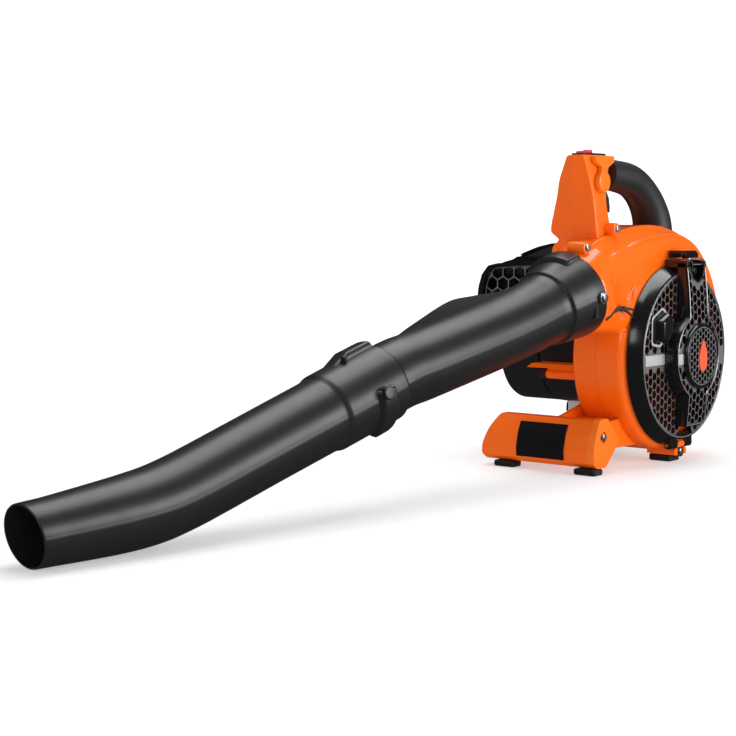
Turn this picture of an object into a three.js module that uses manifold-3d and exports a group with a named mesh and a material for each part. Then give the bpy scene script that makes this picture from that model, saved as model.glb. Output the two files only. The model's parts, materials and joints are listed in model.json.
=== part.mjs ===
// Petrol leaf blower: fan housing, engine, handle, intake cover and two-piece blow tube.
// Millimetres, +Z up. The blow direction is -Y and the air is drawn in on the +X side.
// All pieces are placed about the crank axis (parallel to X, through y = 0 and z = CRANK_Z);
// the finished group is then moved so that its origin is the middle of its footprint.
import * as THREE from 'three';
import { mergeVertices } from 'three/addons/utils/BufferGeometryUtils.js';
import Module from 'manifold-3d';

const wasm = await Module();
wasm.setup();

// ---------------------------------------------------------------- driving dimensions
const GAP = 0.3; // clearance between touching pieces
const CRANK_Z = 127; // height of the crank and fan axis
const WALL = 3; // housing wall
const SCREW_HEAD = 1.6;

const HOUSING_INNER_X = -55; // engine side of the fan housing
const HOUSING_SEAM_X = -20;
const HOUSING_OUTER_X = 16; // intake side of the fan housing
const SCROLL_START_R = 113; // scroll radius at the tongue
const SCROLL_GROWTH = 37; // growth of the radius from the tongue to the top
const OUTLET_BACK_Y = -104; // where the scroll runs into the outlet neck
const HOUSING_EDGE_R = 11;
const INTAKE_HOLE_R = 62;
// Shoulder beside the outlet: x, and how far below the housing's top.
const SHOULDER = [{ x: -2, drop: 0 }, { x: 14, drop: 19 }, { x: 16, drop: 45 }];
const SHOULDER_AT_TOP = 0.4; // share of the shoulder straight above the fan
const SHAFT_HOLE_R = 24;

const MOUTH = { y: -164, z: 202.5, tilt: 16.5 }; // outlet mouth centre and downward tilt
const COLLAR_R = 48.2;
const TUBE_YAW = 4.53; // plan angle of the blow tube towards the engine side
const TUBE_WALL = 2.2;
const JOINT_TILT = 17.2; // tilt of the bayonet joint axis
const JOINT_START = { forward: 300, z: 128.4 }; // rear end of the bayonet joint
const PEG = { forward: 342, radius: 4 }; // bayonet peg inside the lower tube's sleeve
const CHANNEL_FROM = -27.5; // the peg's channel, degrees about the joint axis from the peg
const CHANNEL_SPAN = 35;
const END = { forward: 732, z: 28.4, tilt: 10 }; // nozzle rim, cut a little aslant
const NOZZLE_R = 28.3;

const COVER_BASE_X = 17; // back of the intake cover band
const COVER_RIM_X = 33.4;
const COVER_BASE_R = 108;
const COVER_RIM_R = 98.3;
const STRIP_FACE_X = 51.5;
const STRIP_HALF = 22.5; // half width of the raised strip
const STRIP_BULGE_R = 50.5;
const STRIP_TOP_Z = 235;
const STRIP_BOTTOM_Z = 45;
const HEX_PITCH = 25;
const HEX_WALL = 4;
const HINGE = { x: 25, z: 21.3 };
const KNOB = { y: -63, z: 162 }; // quarter-turn lock on the cover

const POST_X = -6; // intake side face of the handle post
const GRIP_X = -18; // plane of the grip
const LEVER = { y: -129, z: 327.5 }; // throttle lock lever's pivot
const TRIGGER = { y: -108, z: 312 }; // throttle trigger's pivot
const SWITCH = { y: -144.5, z: 355.5 }; // stop switch's pivot
const STARTER_X = -198; // outer face of the recoil starter
const STARTER_R = 63.8;
const SHROUD_R = 64.3; // cylinder shroud between the housing and the starter
const CYLINDER_X = -104; // cylinder axis
const ROPE = { x: -166, y: 31.9 }; // where the starter rope leaves its pulley
const GRILLE = { x: -140, z: 208, pitch: 16, wall: 2.6 }; // engine cover grille
const SCREW_HOLE_R = 2.3;
const BOSS_R = 7.2;
const HINGE_SCREW = { y: 3, z: 12.4 };
const COLLAR_BOLT = { y: -177, z: 200 };
const STAND_SCREW = { y: -146, z: 42 };
const ANYWHERE = [-400, 400]; // reaches past the whole part

// ---------------------------------------------------------------- materials
const COLOURS = {
  orange: [0xf4640f, 0.3, 0],
  orangeTrim: [0xfa7a1c, 0.3, 0],
  blackGloss: [0x141416, 0.25, 0],
  blackSatin: [0x252628, 0.45, 0],
  gripBlack: [0x303133, 0.6, 0],
  rubber: [0x161616, 0.8, 0],
  red: [0xcc2f3c, 0.4, 0],
  steel: [0xb9bcc0, 0.3, 0.9],
  castAluminium: [0x8d9094, 0.5, 0.8],
  label: [0x0b0b0c, 0.35, 0],
  foam: [0x3a3a36, 0.95, 0],
  cord: [0x2a201c, 0.8, 0],
  tank: [0xe8e4da, 0.5, 0],
  bulb: [0xd8d4c4, 0.3, 0],
  ceramic: [0xf2f0ea, 0.3, 0],
};

const blower = new THREE.Group();

// ---------------------------------------------------------------- shape helpers
function solid(geometry) {
  const bare = geometry.clone();
  for (const name of Object.keys(bare.attributes)) {
    if (name !== 'position') bare.deleteAttribute(name);
  }
  const merged = mergeVertices(bare, 1e-4);
  return new wasm.Manifold(new wasm.Mesh({
    numProp: 3,
    vertProperties: new Float32Array(merged.attributes.position.array),
    triVerts: new Uint32Array(merged.index.array),
  }));
}

function toGeometry(body) {
  const mesh = body.getMesh();
  const geometry = new THREE.BufferGeometry();
  geometry.setAttribute('position', new THREE.BufferAttribute(mesh.vertProperties, 3));
  geometry.setIndex(new THREE.BufferAttribute(mesh.triVerts, 1));
  geometry.computeVertexNormals();
  return geometry;
}

function add(name, body, colour) {
  const [color, roughness, metalness] = COLOURS[colour];
  const material = new THREE.MeshStandardMaterial({ color, roughness, metalness });
  const mesh = new THREE.Mesh(toGeometry(body), material);
  mesh.name = name;
  blower.add(mesh);
  return mesh;
}

function union(...bodies) {
  return bodies.reduce((sum, body) => sum.add(body));
}

// Box from its low and high limits along each axis.
function block([x0, x1], [y0, y1], [z0, z1]) {
  const box = new THREE.BoxGeometry(x1 - x0, y1 - y0, z1 - z0);
  return solid(box.translate((x0 + x1) / 2, (y0 + y1) / 2, (z0 + z1) / 2));
}

// Round bar from point a to point b; the radius may change along it.
function rod(a, b, radius, sides = 16, endRadius = radius) {
  const from = new THREE.Vector3(...a);
  const to = new THREE.Vector3(...b);
  const along = to.clone().sub(from);
  const bar = new THREE.CylinderGeometry(endRadius, radius, along.length(), sides);
  const turn = new THREE.Quaternion().setFromUnitVectors(
    new THREE.Vector3(0, 1, 0), along.clone().normalize());
  bar.applyQuaternion(turn);
  return solid(bar.translate(...from.add(to).multiplyScalar(0.5).toArray()));
}

// Round bar along X on the crank axis, or about any other (y, z).
function rodX([x0, x1], radius, sides = 24, y = 0, z = CRANK_Z) {
  return rod([x0, y, z], [x1, y, z], radius, sides);
}

// Round bar along Y.
function rodY([y0, y1], x, z, radius, sides = 14) {
  return rod([x, y0, z], [x, y1, z], radius, sides);
}

// Screw along X: a round head on a shank that reaches to smaller x.
function screwAlongX(headX, y, z, headR, shankR, depth) {
  return union(
    rodX([headX - depth, headX], shankR, 8, y, z),
    rodX([headX, headX + SCREW_HEAD], headR, 12, y, z));
}

// Flips a closed mesh whose faces point inwards.
function outward(geometry) {
  const body = geometry.clone();
  for (const name of Object.keys(body.attributes)) {
    if (name !== 'position') body.deleteAttribute(name);
  }
  const merged = mergeVertices(body, 1e-4);
  const p = merged.attributes.position;
  const index = merged.index.array;
  const corners = [new THREE.Vector3(), new THREE.Vector3(), new THREE.Vector3()];
  let volume = 0;
  for (let i = 0; i < index.length; i += 3) {
    corners.forEach((corner, k) => corner.fromBufferAttribute(p, index[i + k]));
    volume += corners[0].dot(corners[1].clone().cross(corners[2]));
  }
  if (volume < 0) {
    for (let i = 0; i < index.length; i += 3) {
      [index[i], index[i + 1]] = [index[i + 1], index[i]];
    }
  }
  return solid(merged);
}

// Body turned about the crank axis from closed [x, radius] outlines.
function turned(outline, sides = 40, y = 0, z = CRANK_Z) {
  const points = outline.map(([x, r]) => new THREE.Vector2(r, x));
  points.push(points[0].clone());
  const lathe = new THREE.LatheGeometry(points, sides);
  // lathe axis +Y becomes +X, keeping the handedness
  const frame = new THREE.Matrix4().makeBasis(
    new THREE.Vector3(0, 1, 0), new THREE.Vector3(1, 0, 0), new THREE.Vector3(0, 0, -1));
  lathe.applyMatrix4(frame);
  return outward(lathe.translate(0, y, z));
}

// Plate from an outline in (y, z), between two x values, with optional rounded edges.
function plateX(shape, [x0, x1], edge = 0, steps = 3, curveSegments = 12) {
  const plate = new THREE.ExtrudeGeometry(shape, {
    depth: x1 - x0 - 2 * edge,
    bevelEnabled: edge > 0,
    bevelThickness: edge,
    bevelSize: edge,
    bevelOffset: -edge,
    bevelSegments: steps,
    curveSegments,
  });
  const frame = new THREE.Matrix4().makeBasis(
    new THREE.Vector3(0, 1, 0), new THREE.Vector3(0, 0, 1), new THREE.Vector3(1, 0, 0));
  return solid(plate.applyMatrix4(frame).translate(x0 + edge, 0, 0));
}

// Plate from an outline in (x, z), between two y values, with optional rounded edges.
function plateY(shape, [y0, y1], edge = 0, steps = 2, curveSegments = 12) {
  const plate = new THREE.ExtrudeGeometry(shape, {
    depth: y1 - y0 - 2 * edge,
    bevelEnabled: edge > 0,
    bevelThickness: edge,
    bevelSize: edge,
    bevelOffset: -edge,
    bevelSegments: steps,
    curveSegments,
  });
  const frame = new THREE.Matrix4().makeBasis(
    new THREE.Vector3(1, 0, 0), new THREE.Vector3(0, 0, 1), new THREE.Vector3(0, -1, 0));
  return solid(plate.applyMatrix4(frame).translate(0, y1 - edge, 0));
}

// Rectangle outline with round corners.
function roundRect([a0, a1], [b0, b1], r) {
  const shape = new THREE.Shape();
  shape.moveTo(a0 + r, b0);
  shape.lineTo(a1 - r, b0);
  shape.absarc(a1 - r, b0 + r, r, -Math.PI / 2, 0);
  shape.lineTo(a1, b1 - r);
  shape.absarc(a1 - r, b1 - r, r, 0, Math.PI / 2);
  shape.lineTo(a0 + r, b1);
  shape.absarc(a0 + r, b1 - r, r, Math.PI / 2, Math.PI);
  shape.lineTo(a0, b0 + r);
  shape.absarc(a0 + r, b0 + r, r, Math.PI, Math.PI * 1.5);
  return shape;
}

function polygon(points) {
  return new THREE.Shape(points.map(([a, b]) => new THREE.Vector2(a, b)));
}

// Closed skin through rings that all have the same number of points; each end is closed
// by a fan about the ring's middle.
function loft(rings) {
  const count = rings[0].length;
  const middle = (points) => points.reduce((sum, p) => sum.add(p), new THREE.Vector3())
    .divideScalar(points.length);
  const points = [...rings.flat(), middle(rings[0]), middle(rings.at(-1))];
  const faces = [];
  for (let i = 0; i + 1 < rings.length; i += 1) {
    for (let j = 0; j < count; j += 1) {
      const a = i * count + j;
      const b = i * count + ((j + 1) % count);
      faces.push(a, b, b + count, a, b + count, a + count);
    }
  }
  const last = (rings.length - 1) * count;
  const firstMiddle = last + count;
  for (let j = 0; j < count; j += 1) {
    const next = (j + 1) % count;
    faces.push(firstMiddle, next, j);
    faces.push(firstMiddle + 1, last + j, last + next);
  }
  const geometry = new THREE.BufferGeometry().setFromPoints(points);
  geometry.setIndex(faces);
  return outward(geometry);
}

// Ring of points: a superellipse (power 2 is an ellipse, larger is squarer) whose
// plane faces along the given direction.
function ring(centre, direction, halfAcross, halfUp, power = 2, sides = 32) {
  const forward = direction.clone().normalize();
  const across = new THREE.Vector3().crossVectors(forward, new THREE.Vector3(0, 0, 1)).normalize();
  const up = new THREE.Vector3().crossVectors(across, forward);
  return Array.from({ length: sides }, (_, i) => {
    const t = (i / sides) * 2 * Math.PI;
    const c = Math.cos(t);
    const s = Math.sin(t);
    const u = Math.sign(c) * Math.abs(c) ** (2 / power) * halfAcross;
    const v = Math.sign(s) * Math.abs(s) ** (2 / power) * halfUp;
    return centre.clone().addScaledVector(across, u).addScaledVector(up, v);
  });
}

// Plane hexagon with flat top and bottom; size is the distance across its flats.
function hexagon(a, b, size) {
  const r = size / Math.sqrt(3);
  return Array.from({ length: 6 }, (_, i) => {
    const t = (i * Math.PI) / 3;
    return new THREE.Vector2(a + r * Math.cos(t), b + r * Math.sin(t));
  });
}

// Hexagonal holes on a regular grid, kept only where the test accepts the centre.
function hexHoles(pitch, wall, reach, keep, toPlate) {
  const holes = [];
  const step = (pitch * Math.sqrt(3)) / 2;
  for (let column = -reach; column <= reach; column += 1) {
    for (let row = -reach; row <= reach; row += 1) {
      const a = column * step;
      const b = (row + (Math.abs(column) % 2) / 2) * pitch;
      if (keep(a, b)) holes.push(toPlate(new THREE.Shape(hexagon(a, b, pitch - wall))));
    }
  }
  return holes;
}

function degrees(angle) {
  return (angle * Math.PI) / 180;
}

// ---------------------------------------------------------------- blow tube axis
// A point on the tube's centreline plane: distance forward of the outlet mouth and height.
function onTubePlane(forward, z) {
  return new THREE.Vector3(
    HOUSING_SEAM_X - forward * Math.tan(degrees(TUBE_YAW)), MOUTH.y - forward, z);
}

function tubeDirection(tilt, yaw = TUBE_YAW) {
  const level = new THREE.Vector3(-Math.sin(degrees(yaw)), -Math.cos(degrees(yaw)), 0);
  return level.multiplyScalar(Math.cos(degrees(tilt)))
    .add(new THREE.Vector3(0, 0, -Math.sin(degrees(tilt))));
}

// Stations are [forward, z, tilt, radius].
function tubeSkin(stations, sides = 20) {
  return loft(stations.map(([forward, z, tilt, radius]) => ring(
    onTubePlane(forward, z), tubeDirection(tilt), radius, radius, 2, sides)));
}

// Height of the bayonet joint's axis at a distance forward of the outlet mouth.
function jointZ(forward) {
  const run = (forward - JOINT_START.forward) / Math.cos(degrees(TUBE_YAW));
  return JOINT_START.z - run * Math.tan(degrees(JOINT_TILT));
}

// ---------------------------------------------------------------- fan housing
// The scroll starts at the tongue, runs under, behind and over the fan and ends at the top
// of the outlet. Its edges are round, and towards the outlet the intake side's edge widens
// into a sloping shoulder with a crease: share is how much of that shoulder a place has.
function scrollRing(section) {
  const firstAngle = -19;
  const shoulderAngle = 245;
  const steps = 22;
  const points = [];
  for (let i = 0; i <= steps; i += 1) {
    const angle = firstAngle + ((270 - firstAngle) * i) / steps;
    const share = (SHOULDER_AT_TOP * Math.max(angle - shoulderAngle, 0)) / (270 - shoulderAngle);
    const { x, inset } = section(share);
    const grow = SCROLL_GROWTH * (Math.max(angle, 0) / 270) ** 3;
    const r = SCROLL_START_R + grow - inset;
    const y = -r * Math.cos(degrees(angle));
    points.push(new THREE.Vector3(x, y, CRANK_Z - r * Math.sin(degrees(angle))));
  }
  const backY = OUTLET_BACK_Y + section(0).inset;
  points[0].y = backY;
  const top = points.at(-1);
  const crest = new THREE.Vector3(top.x, -50, top.z + 7);
  const end = new THREE.Vector3(top.x, backY, top.z - 6);
  const outlet = new THREE.QuadraticBezierCurve3(top, crest, end).getPoints(5).slice(1);
  outlet.forEach((point, i) => {
    const here = section(SHOULDER_AT_TOP + ((1 - SHOULDER_AT_TOP) * (i + 1)) / 5);
    point.z -= here.inset - section(SHOULDER_AT_TOP).inset;
    point.x = here.x;
  });
  return [...points, ...outlet];
}

// Scroll body between two x values with rounded edges.
function scrollBody([x0, x1], inset, edge) {
  const quarter = [0, 0.25, 0.5].map((part) => part * Math.PI);
  const round = (x, sign, t) => ({
    x: x + sign * edge * (1 - Math.sin(t)),
    inset: inset + edge * (1 - Math.cos(t)),
  });
  const inwards = x1 - HOUSING_OUTER_X;
  const engineSide = quarter.map((t) => () => round(x0, 1, t)).reverse();
  const intakeSide = quarter.map((t, i) => (share) => {
    const edgePoint = round(x1, -1, t);
    return {
      x: THREE.MathUtils.lerp(edgePoint.x, SHOULDER[i].x + inwards, share),
      inset: THREE.MathUtils.lerp(edgePoint.inset, SHOULDER[i].drop + inset, share),
    };
  });
  return loft([...engineSide, ...intakeSide].map(scrollRing));
}

// Room beside the outlet neck that continues the scroll's shoulder forward.
function shoulderRoom(inset) {
  const [start, crease, foot] = SHOULDER.map(({ x, drop }) => [x - inset, drop + inset]);
  const far = 60;
  return loft([[-70, 277, 0.9], [-104, 271, 1], [-126, 265, 1], [-152, 255, 0.9]].map(
    ([y, top, share]) => [
      [start[0], -start[1]], [crease[0], -crease[1] * share], [foot[0], -foot[1] * share],
      [far, -foot[1] * share], [far, far], [start[0], far],
    ].map(([x, height]) => new THREE.Vector3(x, y, top + height))));
}

function neckSkin(inset) {
  const middleX = (HOUSING_INNER_X + HOUSING_OUTER_X) / 2;
  const tiltHalf = MOUTH.tilt / 2;
  const mouth = onTubePlane(0, MOUTH.z);
  const sections = [
    [new THREE.Vector3(middleX, -78, 218), 0, 35.4, 57, 9, 0],
    [new THREE.Vector3(middleX, -104, 215.4), 2, 35.6, 55.2, 8, 0],
    [new THREE.Vector3(middleX, -126, 211.2), tiltHalf, 38.5, 53.8, 4, 0.5],
    [new THREE.Vector3(middleX, -146, 207), MOUTH.tilt * 0.8, 44, 50.8, 2.6, 0.8],
    [mouth, MOUTH.tilt, COLLAR_R - 1, COLLAR_R - 1, 2, 1],
  ];
  const skin = loft(sections.map(([centre, tilt, across, up, power, turn]) => ring(
    centre, tubeDirection(tilt, TUBE_YAW * turn), across - inset, up - inset, power, 20)));
  return skin.subtract(shoulderRoom(inset));
}

// Spigot that the upper tube's collar is pushed on to.
function spigot(inset) {
  return tubeSkin([
    [-3, 203.4, MOUTH.tilt, 45.2 - inset],
    [2, 201.9, MOUTH.tilt, 45.2 - inset],
    [36, 191.6, MOUTH.tilt, 41 - inset],
  ]);
}

const housingX = [HOUSING_INNER_X, HOUSING_OUTER_X];
const housingOuter = union(
  scrollBody(housingX, 0, HOUSING_EDGE_R),
  neckSkin(0),
  spigot(0));
const housingInner = union(
  scrollBody([HOUSING_INNER_X + WALL, HOUSING_OUTER_X - WALL], WALL, HOUSING_EDGE_R - WALL),
  neckSkin(WALL),
  tubeSkin([[-4, 203.7, MOUTH.tilt, 42], [40, 190.4, MOUTH.tilt, 38]]));

const bossScrews = [
  { name: 'screw_neck', from: -22, to: 2, y: -168.5, z: 254.4 },
  { name: 'screw_top', from: -22, to: 6, y: -112, z: 274.5 },
];

function housingWithBosses() {
  let body = housingOuter;
  for (const { from, to, y, z } of bossScrews) body = body.add(rodX([from, to], BOSS_R, 20, y, z));
  return body;
}

const housingShape = housingWithBosses();
const intakeHole = rodX([HOUSING_OUTER_X - 6, HOUSING_OUTER_X + 6], INTAKE_HOLE_R, 64);
const shaftHole = rodX([HOUSING_INNER_X - 6, HOUSING_INNER_X + 6], SHAFT_HOLE_R, 32);

function hingeLug() {
  const knuckle = rodY([-8, 8], HINGE.x, HINGE.z, 4.6);
  const root = block([10, HINGE.x], [-8, 8], [16.8, 25]);
  const pad = block([-10, 27], [-11, 17], [8.4, 16.2]);
  const knuckleFoot = block([18, 27], [-8, 8], [8.4, 20]);
  const pinHole = rodY([-12, 12], HINGE.x, HINGE.z, SCREW_HOLE_R);
  return { body: union(knuckle, root, pad, knuckleFoot), pinHole };
}

function housingShells() {
  const lug = hingeLug();
  let outer = housingShape.intersect(block([HOUSING_SEAM_X, 60], ANYWHERE, ANYWHERE)).add(lug.body);
  outer = outer.subtract(housingInner).subtract(intakeHole).subtract(lug.pinHole);
  for (const { to, y, z } of bossScrews) {
    outer = outer.subtract(rodX([to - 12, to + 1], SCREW_HOLE_R, 10, y, z));
  }
  outer = outer
    .subtract(rodX([15, 28], SCREW_HOLE_R, 10, HINGE_SCREW.y, HINGE_SCREW.z))
    .subtract(rodX([0, 40], 2.6, 10, COLLAR_BOLT.y, COLLAR_BOLT.z));
  const inner = housingShape.intersect(block([-120, HOUSING_SEAM_X - GAP], ANYWHERE, ANYWHERE))
    .subtract(housingInner).subtract(shaftHole);
  add('volute_outer_shell', outer, 'orange');
  add('volute_inner_shell', inner, 'orange');
}

// ---------------------------------------------------------------- stand, feet and label
const standOutline = [
  [-158, 7.6], [-165, 13], [-166, 26], [-161.5, 44], [-152.5, 61], [-137, 61], [-112, 34], [-140, 7.6],
];
const CAP_SCALE = 1.03; // the end cap stands a little proud of the bar all round

function stand() {
  const bar = plateX(polygon(standOutline), [-142, 3]);
  const endMask = new THREE.Shape();
  endMask.moveTo(20, 0);
  endMask.lineTo(20, 70);
  endMask.lineTo(-112, 70);
  endMask.bezierCurveTo(-126, 62, -140, 38, -141, 16);
  endMask.lineTo(-136, 0);
  const rounded = bar.intersect(plateY(endMask, [-190, -90]));
  const hollow = plateX(polygon([
    [-157, 12], [-160, 26], [-149, 57], [-139, 57], [-118, 34], [-141, 12],
  ]), [-128, 20]);
  const bracket = plateX(polygon([[-145, 24], [-145, 52], [-60, 60], [-45, 24]]), [-52, -2]);
  const web = plateX(polygon([[-143, 54], [-70, 56], [-70, 74], [-143, 58]]), [-57, -51]);
  const body = union(rounded.subtract(hollow), bracket.subtract(hollow), web);
  add('stand_bar', body.subtract(grownHousing()), 'orange');

  const cap = plateX(polygon(standOutline.map(([y, z]) => [
    -140 + (y + 140) * CAP_SCALE, 7.6 + (z - 7.6) * CAP_SCALE])), [3.3, 12], 1.5, 1);
  const screwHole = rodX([2, 14], SCREW_HOLE_R, 16, STAND_SCREW.y, STAND_SCREW.z);
  add('stand_end_cap', cap.subtract(screwHole), 'orangeTrim');
  add('stand_cap_screw', screwAlongX(12.3, STAND_SCREW.y, STAND_SCREW.z, 4.2, 2, 7), 'steel');
}

// The housing outline plus a small clearance, used to cut pieces that rest on it.
function grownHousing() {
  return union(
    scrollBody([HOUSING_INNER_X - GAP, HOUSING_OUTER_X + GAP], -GAP, HOUSING_EDGE_R),
    neckSkin(-GAP),
    spigot(-GAP),
    ...bossScrews.map(({ from, to, y, z }) => rodX([from - GAP, to + GAP], BOSS_R + GAP, 20, y, z)));
}

const feet = {
  foot_front_right: [[-15, 13.5], [-167, -148], 7.3],
  foot_front_left: [[-125, -97], [-165, -147], 7.3],
  foot_rear_right: [[-9, 20], [-9, 15], 8.1],
  foot_rear_left: [[-120, -92], [50, 72], 15.6],
};

function footPads() {
  for (const [name, [xs, ys, height]] of Object.entries(feet)) {
    const pad = plateY(roundRect(xs, [0, height], 2.2), ys, 2, 1, 1);
    add(name, pad, 'rubber');
  }
}

function ratingPlate() {
  // thin plate bent over the facets of the bar's front face
  const face = [[-165.15, 15], [-166, 26], [-161.5, 44], [-156.2, 54]].map(
    ([y, z]) => new THREE.Vector2(y, z));
  const lifted = (distance) => face.map((point, i) => {
    const before = face[Math.max(i - 1, 0)];
    const after = face[Math.min(i + 1, face.length - 1)];
    const along = after.clone().sub(before).normalize();
    return [point.x - along.y * distance, point.y + along.x * distance];
  });
  const outline = polygon([...lifted(0.35), ...lifted(1.2).reverse()]);
  add('rating_plate', plateX(outline, [-92, -28]), 'label');
}

// ---------------------------------------------------------------- handle
// Post sections from the housing up: [z, left x, front y, rear y].
const postSections = [
  [236, -72, -133, -96],
  [255, -69, -134, -98],
  [263, -60.5, -135, -100],
  [272, -70, -137, -104],
  [297, -62.5, -142, -113],
  [312, -56.5, -146, -116],
  [330, -49, -153, -115],
  [343, -40.5, -159, -111],
  [357, -30, -167, -105],
];

function handlePost() {
  const rings = postSections.map(([z, left, front, rear]) => {
    const halfX = (POST_X - left) / 2;
    const halfY = (rear - front) / 2;
    const centre = new THREE.Vector3((POST_X + left) / 2, (front + rear) / 2, z);
    return Array.from({ length: 16 }, (_, i) => {
      const t = ((i + 0.5) / 16) * 2 * Math.PI;
      const power = 2 / 9;
      const u = Math.sign(Math.cos(t)) * Math.abs(Math.cos(t)) ** power * halfX;
      const v = Math.sign(Math.sin(t)) * Math.abs(Math.sin(t)) ** power * halfY;
      return centre.clone().add(new THREE.Vector3(u, v, 0));
    });
  });
  const inside = block([-45, -12], [-126, -106], [276, 322])
    .add(block([-27, -9], [-156, -111], [346, 354]))
    .add(block([-27, -9], [-158.3, -111], [352, 360]))
    .add(block([-26, -12], [-128, -100], [300, 334]));
  const pivotHole = rodX([POST_X - 8, POST_X + 2], 3.3, 20, LEVER.y, LEVER.z);
  const post = loft(rings).subtract(inside).subtract(grownHousing()).subtract(pivotHole);
  add('handle_post', post, 'orange');

  const bezel = block([-26.5, -9.5], [-158, -113], [354, 359.5])
    .subtract(block([-24, -12], [-156.2, -132.8], [350, 370]));
  add('switch_bezel', bezel, 'blackSatin');
  const rocker = plateX(polygon([
    [-154.4, 353], [-154.4, 362], [-146, 360.5], [-137, 364], [-134.6, 353]]), [-23.4, -12.6]);
  add('stop_switch', rocker.subtract(rodX([-30, 0], 1.6, 12, SWITCH.y, SWITCH.z)), 'red');
}

// Grip centreline points: [y, z, radius], from the post over and down to the housing.
const gripStations = [
  [-103.5, 337, 17.2],
  [-87, 336, 17.6],
  [-56, 332.3, 18.6],
  [-36, 326, 18.8],
  [-18, 315, 19.4],
  [-3, 300, 20.6],
  [6, 284, 22],
  [9, 268, 23],
];

function handleGrip() {
  const path = new THREE.CatmullRomCurve3(
    gripStations.map(([y, z]) => new THREE.Vector3(GRIP_X, y, z)));
  const steps = 12;
  const rings = [];
  for (let i = 0; i <= steps; i += 1) {
    const t = i / steps;
    const place = t * (gripStations.length - 1);
    const k = Math.min(Math.floor(place), gripStations.length - 2);
    const radius = THREE.MathUtils.lerp(gripStations[k][2], gripStations[k + 1][2], place - k);
    rings.push(ring(path.getPoint(t), path.getTangent(t).negate(), radius, radius, 2.2, 20));
  }
  add('handle_grip', loft(rings).subtract(grownHousing()), 'gripBlack');
}

function throttleControls() {
  const blade = plateX(polygon([
    [-111, 316], [-104, 317], [-98.5, 309.5], [-96.5, 299],
    [-97, 293], [-100.5, 294], [-104, 302], [-111, 308],
  ]), [-23, -13.5]);
  add('throttle_trigger', blade.subtract(rodX([-30, -5], 1.8, 16, TRIGGER.y, TRIGGER.z)), 'blackSatin');
  add('trigger_pin', rodX([-25.9, -12.1], 1.5, 16, TRIGGER.y, TRIGGER.z), 'steel');

  const leverNeck = [[-136, 334], [-122, 334], [-124, 346], [-134, 346]];
  const leverHead = [[-134, 345], [-149, 351], [-149, 356.5], [-110, 356.5], [-110, 351], [-124, 345]];
  const lever = union(
    rodX([POST_X + 0.4, POST_X + 6], 12.3, 24, LEVER.y, LEVER.z),
    rodX([POST_X - 7, POST_X + 1], 3, 20, LEVER.y, LEVER.z),
    plateX(polygon(leverNeck), [POST_X + 0.4, POST_X + 5]),
    plateX(polygon(leverHead), [POST_X + 0.4, POST_X + 6]));
  add('throttle_lock_lever', lever, 'orangeTrim');
}

// ---------------------------------------------------------------- blow tube
function upperTube() {
  const skin = tubeSkin([
    [0.4, 202.5, MOUTH.tilt, COLLAR_R - 1],
    [3, 201.7, MOUTH.tilt, COLLAR_R],
    [14, 198.4, MOUTH.tilt, 47.6],
    [50, 187.8, MOUTH.tilt, 42.2],
    [52, 187.2, MOUTH.tilt, 39],
    [58, 185.4, MOUTH.tilt, 38.3],
    [100, 173.2, 16, 37.5],
    [145, 162.2, 12.6, 37],
    [215, 146.9, 12.3, 36.6],
    [262, 137, 13.5, 36.4],
    [282, 133.3, 15.5, 36.3],
    [309, jointZ(309), JOINT_TILT, 36.2],
    [310.5, jointZ(310.5), JOINT_TILT, 34.6],
    [364, jointZ(364), JOINT_TILT, 34.6],
  ]);
  const bore = tubeSkin([
    [-6, 204.4, MOUTH.tilt, 45.8],
    [2, 201.9, MOUTH.tilt, 45.6],
    [37, 191.4, MOUTH.tilt, 41.4],
    [44, 189.5, MOUTH.tilt, 36.6],
    [58, 185.4, MOUTH.tilt, 36],
    [100, 173.2, 16, 35.3],
    [145, 162.2, 12.6, 34.8],
    [215, 146.9, 12.3, 34.4],
    [262, 137, 13.5, 34.2],
    [290, 131.3, JOINT_TILT, 32.6],
    [372, jointZ(372), JOINT_TILT, 32.4],
  ]);
  // raised pad round the top of the collar, cut clear of the housing's screw boss
  const pad = wrapPad([[0.8, 50], [3, 51.6], [24, 50.6], [30, 45]], collarPoint, 62, 142, 43);
  const bossRoom = rodX([-30, 2 + 2 * GAP], BOSS_R + GAP, 20, bossScrews[0].y, bossScrews[0].z);
  // flat shoulder along the far side: forward, axis height, reach sideways, edge height
  const shoulder = loft([
    [62, 184, 42, 22], [84, 178, 47, 27], [112, 170, 50, 33], [150, 161, 50, 38],
    [200, 150, 49, 30], [240, 141.5, 44, 23], [270, 135.4, 36, 14],
  ].map(([forward, axisZ, reach, edge]) => [
    [-6, 35], [-reach, edge], [2 - reach, edge - 9], [-33, -10], [-12, 0],
  ].map(([across, up]) => onTubePlane(forward, axisZ + up).add(new THREE.Vector3(across, 0, 0)))));
  const boltBoss = rodX([10, 29], 7.5, 20, COLLAR_BOLT.y, COLLAR_BOLT.z);
  const shell = union(skin, pad.subtract(bossRoom), shoulder, boltBoss).subtract(bore)
    .subtract(rodX([0, 40], 2.6, 16, COLLAR_BOLT.y, COLLAR_BOLT.z));
  const peg = rod(
    jointPoint(PEG.forward, 33.6).toArray(), jointPoint(PEG.forward, 42.2).toArray(), PEG.radius, 16);
  add('upper_tube', shell.add(peg), 'blackSatin');
  add('collar_bolt', screwAlongX(29.3, COLLAR_BOLT.y, COLLAR_BOLT.z, 5.6, 2.2, 18), 'steel');
}

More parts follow.
